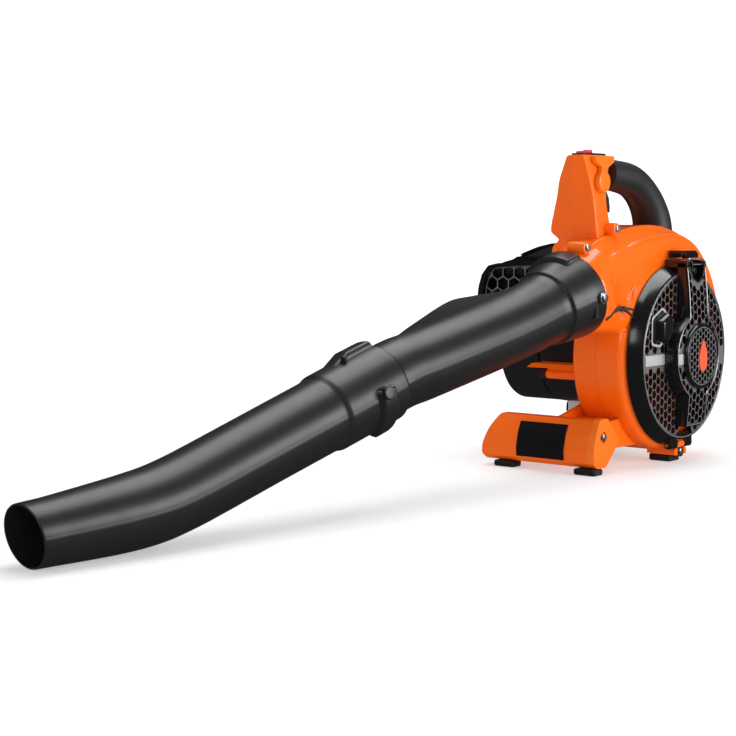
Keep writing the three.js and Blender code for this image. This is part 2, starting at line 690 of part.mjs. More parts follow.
// A point at a distance from the tube's axis, where the axis has a given height and tilt.
// Angle 0 is level on the intake side and 90 is up.
function besideAxis(forward, z, tilt, distance, angle) {
  const direction = tubeDirection(tilt);
  const across = new THREE.Vector3().crossVectors(direction, new THREE.Vector3(0, 0, 1)).normalize();
  const up = new THREE.Vector3().crossVectors(across, direction);
  return onTubePlane(forward, z)
    .addScaledVector(across, -distance * Math.cos(degrees(angle)))
    .addScaledVector(up, distance * Math.sin(degrees(angle)));
}

function jointPoint(forward, distance, angle = 0) {
  return besideAxis(forward, jointZ(forward), JOINT_TILT, distance, angle);
}

function collarPoint(forward, distance, angle) {
  const drop = (forward * Math.tan(degrees(MOUTH.tilt))) / Math.cos(degrees(TUBE_YAW));
  return besideAxis(forward, MOUTH.z - drop, MOUTH.tilt, distance, angle);
}

// Pad that wraps part of a tube between two angles; stations are [forward, outer distance].
function wrapPad(stations, pointAt, from, to, inner) {
  const steps = Math.ceil((to - from) / 14);
  return loft(stations.map(([forward, outer]) => {
    const arc = (distance) => Array.from({ length: steps + 1 }, (_, i) => pointAt(
      forward, distance, from + ((to - from) * i) / steps));
    return [...arc(outer), ...arc(inner).reverse()];
  }));
}

function lowerTube() {
  const skin = tubeSkin([
    [312, jointZ(312), JOINT_TILT, 39.4],
    [313.5, jointZ(313.5), JOINT_TILT, 40.2],
    [388, jointZ(388), JOINT_TILT, 39.2],
    [394, jointZ(394), JOINT_TILT, 36.9],
    [470, 75.8, 17.2, 35.9],
    [552, 50.4, 16.6, 35.1],
    [574, 44.3, 14.8, 34.8],
    [596, 39.2, 11, 34.6],
    [620, 35.8, 7, 34],
    [650, 33.1, 4.6, 32.6],
    [710, 29.4, 4.6, 29],
    [END.forward, END.z, END.tilt, NOZZLE_R],
  ]);
  const bore = tubeSkin([
    [300, jointZ(300), JOINT_TILT, 36.6],
    [372, jointZ(372), JOINT_TILT, 35],
    [392, jointZ(392), JOINT_TILT, 34.4],
    [552, 50.4, 16.6, 32.9],
    [574, 44.3, 14.8, 32.6],
    [596, 39.2, 11, 32.4],
    [620, 35.8, 7, 31.8],
    [650, 33.1, 4.6, 30.4],
    [710, 29.4, 4.6, 27.2],
    [END.forward + 6, END.z - 0.2, END.tilt, NOZZLE_R - 1.7],
  ]);
  // bayonet housings on both sides, a locking pad on top and a round button
  const sides = [[-68, 16], [164, 248]].map(([from, to]) => wrapPad(
    [[331, 40.6], [334, 45], [351, 45], [356, 40.6]], jointPoint, from, to, 37.5));
  const topPad = wrapPad(
    [[313.5, 42], [316, 46], [346, 46], [366, 39.8]], jointPoint, 84, 116, 37.5);
  const button = rod(
    jointPoint(345, 38, 8).toArray(), jointPoint(345, 47.6, 8).toArray(), 7, 20);
  const channel = loft([PEG.forward - 4.5, PEG.forward + 4.5].map((forward) => {
    const arc = (distance) => Array.from({ length: 4 }, (_, i) => jointPoint(
      forward, distance, CHANNEL_FROM + (CHANNEL_SPAN * i) / 3));
    return [...arc(42.7), ...arc(30).reverse()];
  }));
  add('lower_tube', union(skin, ...sides, topPad, button).subtract(bore).subtract(channel), 'blackSatin');
}

// ---------------------------------------------------------------- fan and crank
function rotatingParts() {
  const hub = turned([
    [-47, 0.01], [-47, 20], [-44, 96], [-41.5, 96], [-38, 30], [-12, 15], [-12, 0.01]], 36);
  const blades = Array.from({ length: 12 }, (_, i) => {
    const turn = new THREE.Matrix4().makeRotationX((i / 12) * 2 * Math.PI);
    const plate = new THREE.BoxGeometry(42, 58, 2.4).rotateX(degrees(28)).translate(-22, 66, 0);
    return solid(plate.applyMatrix4(turn).translate(0, 0, CRANK_Z));
  });
  const fanRange = rodX([-48, 2], 97, 36);
  const bore = rodX([-60, 0], 6.3, 24);
  add('impeller', union(hub, ...blades).intersect(fanRange).subtract(bore), 'orange');

  const shaft = union(rodX([-150, -2], 6, 24), rodX([-112, -98], 22, 40));
  add('crankshaft', shaft, 'steel');
  const nut = rod([-11.7, 0, CRANK_Z], [-5, 0, CRANK_Z], 9.5, 6).subtract(rodX([-14, 0], 6.3, 24));
  add('impeller_nut', nut, 'steel');

  const wheel = union(
    rodX([-143, -137], 42, 32),
    ...Array.from({ length: 6 }, (_, i) => {
      const fin = new THREE.BoxGeometry(9, 18, 2.4).translate(-146.5, 31, 0);
      return solid(fin.rotateX((i / 6) * 2 * Math.PI).translate(0, 0, CRANK_Z));
    }),
    rodX([-149, -137], 14, 32));
  add('flywheel', wheel.intersect(rodX([-152, -130], 43, 32)).subtract(rodX([-160, -130], 6.3, 24)),
    'castAluminium');
}

// ---------------------------------------------------------------- engine
function engineCore() {
  const caseBody = union(
    rodX([-128, -70], 36, 24),
    block([-124, -84], [-28, 28], [CRANK_Z, 166]),
    ...[[-1, -1], [1, -1], [-1, 1], [1, 1]].map(([a, b]) => rodX(
      [-80, HOUSING_INNER_X - GAP], 6, 10, a * 25, CRANK_Z + b * 25)),
    rodX([-74, -68], 42, 24));
  const caseCavity = union(
    rodX([-116, -94], 26, 24),
    rod([CYLINDER_X, 0, CRANK_Z], [CYLINDER_X, 0, 170], 17.6, 16));
  const shaftBore = rodX([-140, -50], 6.4, 24);
  add('crankcase', caseBody.subtract(caseCavity).subtract(shaftBore), 'castAluminium');

  const fins = Array.from({ length: 5 }, (_, i) => {
    const z = 170 + i * 9.5;
    return block([CYLINDER_X - 25.5, CYLINDER_X + 25.5], [-31, 31], [z, z + 2.6]);
  });
  const barrel = union(rod([CYLINDER_X, 0, 166.3], [CYLINDER_X, 0, 212], 22, 16), ...fins);
  const bore = rod([CYLINDER_X, 0, 160], [CYLINDER_X, 0, 204], 17.3, 24);
  const plugHole = rod([CYLINDER_X, 0, 200], [CYLINDER_X, 0, 216], 5.3, 24);
  add('cylinder', barrel.subtract(bore).subtract(plugHole), 'castAluminium');
  const piston = rod([CYLINDER_X, 0, 172], [CYLINDER_X, 0, 198], 16.8, 24)
    .subtract(rod([CYLINDER_X, 0, 170], [CYLINDER_X, 0, 194], 14, 12));
  add('piston', piston, 'steel');
  const plug = union(
    rod([CYLINDER_X, 0, 203], [CYLINDER_X, 0, 212.4], 5, 24),
    rod([CYLINDER_X, 0, 212.4], [CYLINDER_X, 0, 218], 8.5, 6),
    rod([CYLINDER_X, 0, 218], [CYLINDER_X, 0, 232], 4.4, 20));
  add('spark_plug', plug, 'ceramic');
  const boot = union(
    rod([CYLINDER_X, 0, 222], [CYLINDER_X, 0, 243], 8, 20),
    rod([CYLINDER_X, 0, 237], [CYLINDER_X, 26, 237], 5, 16));
  const plugSocket = rod([CYLINDER_X, 0, 220], [CYLINDER_X, 0, 232.4], 4.7, 20);
  add('spark_plug_boot', boot.subtract(plugSocket), 'rubber');

  const muffler = plateY(roundRect([-144, -82], [180, 226], 8), [-72, -38], 3, 1, 3);
  const stub = rod([CYLINDER_X, -38.4, 186], [CYLINDER_X, -31.4, 186], 9, 20);
  add('muffler', muffler.add(stub), 'castAluminium');
  add('ignition_coil', block([-150, -137], [-13, 13], [171, 181]), 'blackGloss');
}

function engineShrouds() {
  const shroud = turned([
    [-60, 44.4], [-60, SHROUD_R], [-129, SHROUD_R], [-129, SHROUD_R - 2.5],
    [-63, SHROUD_R - 2.5], [-63, 44.4]], 28);
  const cylinderGap = block([-140, -64], [-39, 39], [150, 200]);
  add('engine_shroud', shroud.subtract(cylinderGap), 'blackSatin');

  const housing = turned([
    [-131, STARTER_R - 2.5], [-131, STARTER_R], [STARTER_X + 12, STARTER_R], [STARTER_X, 42],
    [STARTER_X, 0.01], [-156, 0.01], [-156, 5], [STARTER_X + 3, 5],
    [STARTER_X + 3, 40.5], [STARTER_X + 13.5, STARTER_R - 2.5],
  ], 24);
  const ropeHole = rod([ROPE.x, ROPE.y, 150], [ROPE.x, ROPE.y, 190], 3, 16);
  const guide = rod([ROPE.x, ROPE.y, 175], [ROPE.x, ROPE.y, 184], 6, 20);
  const vents = Array.from({ length: 6 }, (_, i) => {
    const slot = new THREE.BoxGeometry(8, 20, 5).translate(STARTER_X + 1, 28, 0);
    return solid(slot.rotateX(((i + 0.5) / 6) * 2 * Math.PI).translate(0, 0, CRANK_Z));
  });
  let body = housing.add(guide).subtract(ropeHole);
  for (const vent of vents) body = body.subtract(vent);
  add('starter_housing', body, 'blackSatin');

  const pulley = turned([
    [-159, 5.3], [-159, 30], [-161, 30], [-163, 27], [-169, 27], [-171, 30], [-173, 30], [-173, 5.3]], 24);
  add('starter_pulley', pulley, 'gripBlack');
  add('starter_rope', rod([ROPE.x, ROPE.y, CRANK_Z], [ROPE.x, ROPE.y, 187.2], 1.6, 8), 'cord');
  const pull = plateY(roundRect([-184, -148], [187.6, 199.6], 4.5), [25.4, 38.4], 3, 1, 3);
  add('starter_handle', pull, 'blackGloss');
}

function engineCover() {
  const front = -86;
  const profile = new THREE.Shape();
  profile.moveTo(-206, 190);
  profile.bezierCurveTo(-204, 206, -198, 224, -190, 229);
  profile.quadraticCurveTo(-178, 235, -166, 237);
  profile.quadraticCurveTo(-138, 252, -112, 257);
  profile.quadraticCurveTo(-90, 260, -76, 259);
  profile.lineTo(-76, 190);
  const inner = new THREE.Shape();
  inner.moveTo(-203, 180);
  inner.lineTo(-202, 200);
  inner.bezierCurveTo(-198, 214, -194, 222, -188, 226);
  inner.quadraticCurveTo(-178, 231.5, -165, 233.5);
  inner.quadraticCurveTo(-138, 248.5, -112, 254);
  inner.quadraticCurveTo(-92, 256.8, -79, 256);
  inner.lineTo(-79, 180);
  const notch = block([-230, -140], [16, 80], [150, 270]);
  const ropeRoom = block([-230, -137], [12, 80], [150, 270]);
  const skin = plateY(profile, [front, 48], 3, 1, 5).subtract(notch);
  const hollow = plateY(inner, [front + 3.5, 45], 0, 1, 5).subtract(ropeRoom);
  const openSide = block([-90, -70], [-40, 40], [180, 222]);
  const intakeGap = block([-122, -86], [40, 60], [150, 208]);
  const window = plateY(polygon([[-158, 231], [-148, 249], [-88, 262], [-96, 236]]), [-84, -60])
    .subtract(block([-200, -60], [-84, -76], [150, 243]));
  const holes = hexHoles(GRILLE.pitch, GRILLE.wall, 9,
    (a, b) => Math.abs(a) < 55 && b > -14 && b < 22,
    (shape) => plateY(shape, [front - 5, front + 8]))
    .map((hole) => hole.translate([GRILLE.x, 0, GRILLE.z]));
  let body = skin.subtract(hollow).subtract(openSide).subtract(intakeGap).subtract(window);
  for (const hole of holes) body = body.subtract(hole);
  add('engine_cover', body, 'blackGloss');
}

function mountBush() {
  const rootX = HOUSING_INNER_X - GAP;
  const flange = [[-108, 112], [-96, 116], [-66, 116], [-66, 113], [-96, 112]];
  const rib = [[-96, 104], [-94, 114], [-90, 114], [-90, 104]];
  const arm = union(
    rodX([-98, rootX], 5.6, 20, -92, 104),
    plateX(polygon(flange), [-118, rootX]),
    plateX(polygon(rib), [-97, rootX]));
  add('engine_mount_arm', arm, 'orange');
  add('engine_mount_bush', rodX([-106, -98.3], 7, 20, -92, 104), 'rubber');
}

// ---------------------------------------------------------------- fuel and air
function fuelSystem() {
  const tank = plateX(roundRect([32, 100], [16, 70], 10), [-150, -60], 5, 1, 3);
  const neck = rodX([-154, -146], 13, 28, 70, 46);
  add('fuel_tank', tank.add(neck), 'tank');
  const cap = rodX([-166, -154.3], 17, 12, 70, 46);
  add('fuel_cap', cap, 'blackGloss');

  const carburettor = union(block([-118, -90], [46, 70], [176, 204]),
    rod([CYLINDER_X, 31.4, 190], [CYLINDER_X, 47, 190], 11, 24));
  const throat = rod([CYLINDER_X, 25, 190], [CYLINDER_X, 80, 190], 7, 24);
  const bulbRecess = rod([CYLINDER_X, 58, 170], [CYLINDER_X, 58, 181.5], 9, 20);
  add('carburettor', carburettor.subtract(throat).subtract(bulbRecess), 'castAluminium');
  add('primer_bulb', rod([CYLINDER_X, 58, 176.4], [CYLINDER_X, 58, 167], 8, 20, 5), 'bulb');

  const base = plateY(roundRect([-134, -66], [162, 226], 6), [70.4, 76], 0, 1, 3).subtract(throat);
  add('air_filter_base', base.subtract(rodY([66, 80], -126, 178, 3.3)), 'blackSatin');
  add('air_filter_element', plateY(roundRect([-116, -74], [170, 218], 4), [76.3, 90], 0, 1, 2), 'foam');
  const coverOuter = plateY(roundRect([-136, -64], [160, 228], 8), [76.6, 108], 4, 1, 3);
  const coverInner = plateY(roundRect([-133, -67], [163, 225], 6), [70, 105], 0, 1, 3);
  const leverSlot = block([-142, -128], [70, 84], [168, 200]);
  add('air_filter_cover', coverOuter.subtract(coverInner).subtract(leverSlot), 'blackGloss');
  const lever = union(
    rodY([68, 80], -126, 178, 3),
    block([-148, -124], [77, 80], [175.4, 180.6]));
  add('choke_lever', lever, 'blackSatin');
}

// ---------------------------------------------------------------- intake cover
function stripOutline(inset) {
  const half = STRIP_HALF - inset;
  const bulge = STRIP_BULGE_R - inset;
  const start = Math.acos(half / bulge);
  const shape = new THREE.Shape();
  shape.moveTo(-half, STRIP_BOTTOM_Z + inset);
  shape.lineTo(half, STRIP_BOTTOM_Z + inset);
  shape.absarc(0, CRANK_Z, bulge, -start, start);
  shape.lineTo(half, STRIP_TOP_Z - inset);
  shape.lineTo(-half, STRIP_TOP_Z - inset);
  shape.absarc(0, CRANK_Z, bulge, Math.PI - start, Math.PI + start);
  return shape;
}

function insideStrip(y, z, margin) {
  const inBar = Math.abs(y) < STRIP_HALF - margin
    && z > STRIP_BOTTOM_Z - CRANK_Z + margin && z < STRIP_TOP_Z - CRANK_Z - margin;
  return inBar || Math.hypot(y, z) < STRIP_BULGE_R - margin;
}

function intakeCover() {
  // bellmouth that stands on the housing around the fan's eye
  add('intake_ring', turned([
    [8, 57], [8, 61], [HOUSING_OUTER_X + GAP, 61], [HOUSING_OUTER_X + GAP, 70], [18.8, 70],
    [20.8, 66], [20.8, 61]], 28), 'orange');

  const band = turned([
    [COVER_BASE_X, COVER_BASE_R], [COVER_RIM_X, COVER_RIM_R],
    [COVER_RIM_X, COVER_RIM_R - 2.6], [COVER_BASE_X, COVER_BASE_R - 2.6]], 32);
  const ears = [-1, 1].map((side) => {
    const ys = side < 0 ? [-24.5, -8.6] : [8.6, 24.5];
    return union(
      rodY(ys, HINGE.x, HINGE.z, 4.6),
      block([HINGE.x - 4, HINGE.x + 4.6], ys, [HINGE.z, 29.5]));
  });
  const inBand = turned([
    [10, COVER_BASE_R - 2.6 + 4], [COVER_BASE_X, COVER_BASE_R - 2.6], [COVER_RIM_X, COVER_RIM_R - 2.6],
    [60, 81], [60, 0.01], [10, 0.01]], 32);
  const pinHole = rodY([-40, 40], HINGE.x, HINGE.z, 2.3);
  const ledge = turned([[29, 98.6], [29, 92], [30.7, 92], [30.7, 97.6]], 32);
  const knuckleRoom = block([14, 30.4], [-8.6, 8.6], [10, 27.2]);
  add('cover_frame', union(band, ledge, union(...ears).subtract(inBand))
    .subtract(knuckleRoom).subtract(pinHole), 'blackGloss');

  const gridDisc = rodX([31, 33], 95.2, 36);
  const underStrip = plateX(stripOutline(3.2), [28, 36], 0, 1, 8);
  const gridHoles = hexHoles(HEX_PITCH, HEX_WALL, 6,
    (y, z) => Math.hypot(y, z) < 82 && !insideStrip(y, z, -11),
    (shape) => plateX(shape, [29, 35]))
    .map((hole) => hole.translate([0, 0, CRANK_Z]));
  let grid = gridDisc.subtract(underStrip);
  for (const hole of gridHoles) grid = grid.subtract(hole);
  grid = grid.add(rodX([31, 33], 9, 20, KNOB.y, KNOB.z))
    .subtract(rodX([28, 36], 4.4, 16, KNOB.y, KNOB.z));
  add('cover_mesh', grid, 'blackGloss');

  const latchBox = block(
    [24, STRIP_FACE_X - 8], [-STRIP_HALF, STRIP_HALF], [STRIP_TOP_Z - 1, STRIP_TOP_Z + 5]);
  const latchRoom = block([20, 41], [-15, 15], [STRIP_TOP_Z + 1.5, STRIP_TOP_Z + 20]);
  const skin = plateX(stripOutline(0), [COVER_RIM_X + GAP, STRIP_FACE_X], 1.5, 1, 10);
  const hollow = plateX(stripOutline(2.4), [20, STRIP_FACE_X - 2.4], 0, 1, 10);
  const faceHoles = hexHoles(HEX_PITCH, HEX_WALL, 6,
    (y, z) => insideStrip(y, z, 11) && Math.hypot(y, z) > 48,
    (shape) => plateX(shape, [STRIP_FACE_X - 8, STRIP_FACE_X + 4]))
    .map((hole) => hole.translate([0, 0, CRANK_Z]));
  let strip = skin.subtract(hollow);
  for (const hole of faceHoles) strip = strip.subtract(hole);
  strip = strip.subtract(rodX([40, 60], 30, 40)).add(latchBox).subtract(latchRoom)
    .subtract(rodY([-20, 20], 37, 242, 1.9));
  add('cover_strip', strip, 'blackGloss');

  add('emblem_bezel', turned([
    [STRIP_FACE_X + GAP, 31], [STRIP_FACE_X + GAP, 38.5], [56, 38.5], [59.5, 36.8], [59.5, 34.6],
    [54.5, 34.6], [54.5, 31]], 28), 'blackGloss');
  add('emblem_disc', union(rodX([54.8, 57.4], 34.2, 32), rodX([57, 58.6], 14, 16)), 'blackSatin');

  const latchArm = [
    [17.5, 246.4], [17.5, 249.4], [38, 249.4], [40.4, 246], [40.4, 240], [34, 240], [33, 246.4]];
  const latchHook = block([17.5, 20], [-14, 14], [241, 247]);
  const latch = plateY(polygon(latchArm), [-14, 14]).add(latchHook);
  add('cover_latch', latch.subtract(rodY([-20, 20], 37, 242.6, 1.9)), 'blackGloss');
}

function coverKnob() {
  const head = plateX(roundRect([-12, 12], [-17, 17], 5), [COVER_RIM_X + 0.3, 46], 2.5, 1, 3);
  const stem = rodX([28, COVER_RIM_X + 1], 4, 20, 0, 0);
  add('cover_lock_knob', head.add(stem).translate([0, KNOB.y, KNOB.z]), 'blackGloss');
}

function hingePin() {
  const pin = union(rodY([-27, 27], HINGE.x, HINGE.z, 2), rodY([27, 28.6], HINGE.x, HINGE.z, 3.4));
  add('hinge_pin', pin, 'steel');
  add('hinge_screw', screwAlongX(27.3, HINGE_SCREW.y, HINGE_SCREW.z, 4.2, 2, 9), 'steel');
}

function tieStrap() {
  const path = new THREE.CatmullRomCurve3([
    new THREE.Vector3(18, -154, 172), new THREE.Vector3(23, -143, 179), new THREE.Vector3(24, -128, 186),
    new THREE.Vector3(25, -118, 187), new THREE.Vector3(29, -113, 181),
  ]);
  const section = new THREE.Shape(Array.from({ length: 8 }, (_, i) => new THREE.Vector2(
    1.3 * Math.cos((i * Math.PI) / 4), 1.3 * Math.sin((i * Math.PI) / 4))));
  const strap = new THREE.ExtrudeGeometry(section, { steps: 10, extrudePath: path, bevelEnabled: false });
  const knot = new THREE.SphereGeometry(3, 8, 6).translate(23.5, -127, 186.4);
  add('tie_strap', outward(strap).add(solid(knot)), 'cord');
}

function bossScrewParts() {
  for (const { name, to, y, z } of bossScrews) add(name, screwAlongX(to + GAP, y, z, 4, 2, 10), 'steel');
}

// ---------------------------------------------------------------- assembly
housingShells();
stand();
footPads();
ratingPlate();
handlePost();
handleGrip();
throttleControls();
upperTube();
lowerTube();
rotatingParts();
engineCore();
engineShrouds();
engineCover();
mountBush();
fuelSystem();
intakeCover();
coverKnob();
hingePin();
tieStrap();
bossScrewParts();

// Origin at the middle of the footprint, on the floor.
const bounds = new THREE.Box3().setFromObject(blower);
const middle = bounds.getCenter(new THREE.Vector3());
blower.position.set(-middle.x, -middle.y, -bounds.min.z);

export default blower;
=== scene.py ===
import json
import math

import bmesh
import bpy
from mathutils import Matrix, Vector
from mathutils.geometry import tessellate_polygon


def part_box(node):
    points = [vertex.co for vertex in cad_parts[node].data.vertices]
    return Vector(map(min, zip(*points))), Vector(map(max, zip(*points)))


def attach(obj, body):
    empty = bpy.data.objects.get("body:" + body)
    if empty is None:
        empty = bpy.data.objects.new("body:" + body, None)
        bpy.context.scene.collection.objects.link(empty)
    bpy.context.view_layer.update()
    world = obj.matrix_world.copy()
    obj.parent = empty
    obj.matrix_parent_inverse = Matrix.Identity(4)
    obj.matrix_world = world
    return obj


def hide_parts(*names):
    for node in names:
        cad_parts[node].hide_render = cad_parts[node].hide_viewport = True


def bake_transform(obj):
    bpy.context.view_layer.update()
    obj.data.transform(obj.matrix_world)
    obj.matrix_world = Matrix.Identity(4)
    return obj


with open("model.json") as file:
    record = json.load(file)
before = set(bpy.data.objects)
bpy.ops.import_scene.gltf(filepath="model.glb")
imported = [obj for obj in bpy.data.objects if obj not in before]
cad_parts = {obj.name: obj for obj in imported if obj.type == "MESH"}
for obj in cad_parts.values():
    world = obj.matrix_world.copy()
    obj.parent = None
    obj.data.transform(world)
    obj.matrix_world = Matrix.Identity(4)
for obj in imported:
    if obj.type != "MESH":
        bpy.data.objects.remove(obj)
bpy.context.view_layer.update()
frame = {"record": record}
MM = 0.001

# The crank shaft gives the design frame's datum: its end is at x = -2 and its axis at y = 0.
shaft_low, shaft_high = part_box("crankshaft")
DATUM = Vector((shaft_high.x + 2 * MM, (shaft_low.y + shaft_high.y) / 2, 0))
CRANK_Z = 127

# ---- driving sizes, as in the CAD
HOUSING_INNER_X, HOUSING_SEAM_X, HOUSING_OUTER_X = -55, -20, 16
SCROLL_START_R, SCROLL_GROWTH = 113, 37
OUTLET_BACK_Y = -104
HOUSING_EDGE_R = 11
EYE_R = 62
SHOULDER = ((-2, 0), (14, 19), (16, 45))
SHOULDER_AT_TOP = 0.4
MOUTH_Y, MOUTH_Z, MOUTH_TILT = -164, 202.5, 16.5
PEG_FORWARD = 342
TUBE_YAW = 4.53
COVER_RIM_X = 33.4
STRIP_HALF, STRIP_BULGE_R = 22.5, 50.5
STRIP_LOW_Z, STRIP_HIGH_Z = 45, 235
HEX_PITCH, HEX_WALL = 10.3, 1.2
POST_X, GRIP_X = -6, -18
STARTER_X, STARTER_R, SHROUD_R = -198, 63.8, 64.3
HINGE_X, HINGE_Z = 25, 21.3
# y and z of things that run along x, and x and y of the rope
COLLAR_BOLT, CAP_SCREW, HINGE_SCREW = (-177, 200), (-146, 42), (3, 12.4)
LOCK_PIVOT, KNOB = (-129, 327.5), (-63, 162)
ROPE = (-166, 31.9)
BAND_Z = 125


def at(x, y, z):
    """Design millimetres to metres in the row frame."""
    return Vector((DATUM.x + x * MM, DATUM.y + y * MM, z * MM))


def mix(a, b, share):
    return a + (b - a) * share


# ---- camera, lights and floor
CAMERA_PLACE = at(1002.5, -1778.2, 286.1)
CAMERA_AZIMUTH, CAMERA_PITCH, CAMERA_LENS = 39.2, 5.009, 83.15


def make_camera():
    data = bpy.data.cameras.new("camera")
    data.lens = CAMERA_LENS
    data.sensor_width = 36
    data.clip_end = 50
    camera = bpy.data.objects.new("camera", data)
    camera.location = CAMERA_PLACE
    camera.rotation_euler = (math.radians(90 - CAMERA_PITCH), 0, math.radians(CAMERA_AZIMUTH))
    bpy.context.scene.collection.objects.link(camera)
    bpy.context.scene.camera = camera


def softbox(name, place, target, width, height, power, colour=(1, 1, 1)):
    data = bpy.data.lights.new(name, "AREA")
    data.shape = "RECTANGLE"
    data.size = width
    data.size_y = height
    data.energy = power
    data.color = colour
    lamp = bpy.data.objects.new(name, data)
    lamp.location = place
    lamp.rotation_euler = (Vector(target) - Vector(place)).to_track_quat("-Z", "Y").to_euler()
    bpy.context.scene.collection.objects.link(lamp)


def make_studio():
    scene = bpy.context.scene
    scene.view_settings.view_transform = "Standard"
    world = bpy.data.worlds.new("studio")
    world.use_nodes = True
    world.node_tree.nodes["Background"].inputs["Color"].default_value = (1, 1, 1, 1)
    world.node_tree.nodes["Background"].inputs["Strength"].default_value = 0.04
    scene.world = world
    softbox("top_softbox", (-0.1, 0.45, 2.0), (-0.05, 0.0, 0.15), 1.5, 2.0, 40)
    softbox("side_softbox", (2.2, 1.0, 0.55), (0, -0.1, 0.15), 1.5, 0.9, 34)
    softbox("front_softbox", (1.4, -2.6, 1.5), (0, 0, 0.15), 0.9, 0.9, 8)
    softbox("backdrop_softbox", (-1.0, 1.2, 1.8), (-2.9, 3.0, 0.9), 1.6, 1.6, 60)


    rings = [(0, 0), (2.6, 0), (3.4, 0.12), (3.9, 0.5), (4.1, 1.2), (4.1, 4.5)]
    bm = bmesh.new()
    centre = bm.verts.new((0, 0, 0))
    previous = None
    for radius, height in rings[1:]:
        loop = [bm.verts.new((*p, height)) for p in circle(radius, 96)]
        for i in range(len(loop)):
            j = (i + 1) % len(loop)
            if previous is None:
                bm.faces.new((centre, loop[i], loop[j]))
            else:
                bm.faces.new((previous[i], loop[i], loop[j], previous[j]))
        previous = loop
    floor = mesh_object("floor", bm)
    floor.data.shade_smooth()
    material = bpy.data.materials.new("pale_floor")
    material.use_nodes = True
    connect(material.node_tree, material.node_tree.nodes["Principled BSDF"], {"Base Color": (0.6, 0.6,
        0.61, 1), "Roughness": 0.6, "Specular IOR Level": 0.2, "Emission Color": (1, 1, 1, 1),
        "Emission Strength": 0.4})
    floor.data.materials.append(material)
    floor.visible_glossy = False


# ---- materials
def connect(tree, node, inputs):
    """Sets a node's inputs, each to a value or to another node's output."""
    for name, value in inputs.items():
        if isinstance(value, bpy.types.NodeSocket):
            tree.links.new(value, node.inputs[name])
        else:
            node.inputs[name].default_value = value


def add_node(tree, kind, inputs, **settings):
    node = tree.nodes.new("ShaderNode" + kind)
    for name, value in settings.items():
        setattr(node, name, value)
    connect(tree, node, inputs)
    return node


def surface(name, colour, roughness, grain_mm=0.6, grain_depth=0.05, variation=0.05, metallic=0.0,
        coat=0.0, specular=0.5, wear=0.0, extra=None):
    """Moulded or metal surface: base colour with slow and fine variation, uneven roughness,
    a fine grain in the bump, and paler wear where the surface is sharply convex."""
    material = bpy.data.materials.new(name)
    material.use_nodes = True
    tree = material.node_tree
    place = add_node(tree, "TexCoord", {}).outputs["Object"]

    def noise(scale, detail):
        node = add_node(tree, "TexNoise", {"Scale": scale, "Detail": detail, "Vector": place})
        return node.outputs["Fac"]

    def shade(factor, lift=0):
        return (*[min(1, c * factor + lift) for c in colour], 1)

    base = add_node(tree, "Mix", {"A": shade(1 - variation), "B": shade(1 + variation),
        "Factor": noise(28, 3)}, data_type="RGBA").outputs["Result"]
    if wear:
        pointiness = add_node(tree, "NewGeometry", {}).outputs["Pointiness"]
        edge = add_node(tree, "MapRange", {"From Min": 0.53, "From Max": 0.62, "To Max": wear,
            "Value": pointiness})
        base = add_node(tree, "Mix", {"A": base, "B": shade(1.6, 0.04),
            "Factor": edge.outputs["Result"]}, data_type="RGBA").outputs["Result"]
    if extra:
        base = extra(tree, place, base)
    gloss = add_node(tree, "MapRange", {"To Min": max(0.02, roughness * 0.86), "To Max": min(1,
        roughness * 1.14), "Value": noise(60, 5)})
    bump = add_node(tree, "Bump", {"Strength": grain_depth, "Distance": 0.2 * MM,
        "Height": noise(1000 / grain_mm, 2)})
    connect(tree, tree.nodes["Principled BSDF"], {"Base Color": base,
        "Roughness": gloss.outputs["Result"], "Normal": bump.outputs["Normal"], "Metallic": metallic,
        "Coat Weight": coat, "Coat Roughness": 0.12, "Specular IOR Level": specular})
    return material


def braid(tree, place, colour):
    """Crossed strands of a braided cord, as a darker check over the colour."""
    wave = add_node(tree, "TexWave", {"Scale": 380, "Distortion": 1.5, "Vector": place},
        bands_direction="DIAGONAL")
    return add_node(tree, "Mix", {"A": colour, "B": (0.45, 0.4, 0.38, 1),
        "Factor": wave.outputs["Fac"]}, data_type="RGBA", blend_type="MULTIPLY").outputs["Result"]


def pores(tree, place, colour):
    """Open cells of a foam, as dark spots."""
    cells = add_node(tree, "TexVoronoi", {"Scale": 700, "Vector": place})
    return add_node(tree, "Mix", {"Factor": 0.8, "A": colour, "B": cells.outputs["Distance"]},
        data_type="RGBA", blend_type="MULTIPLY").outputs["Result"]


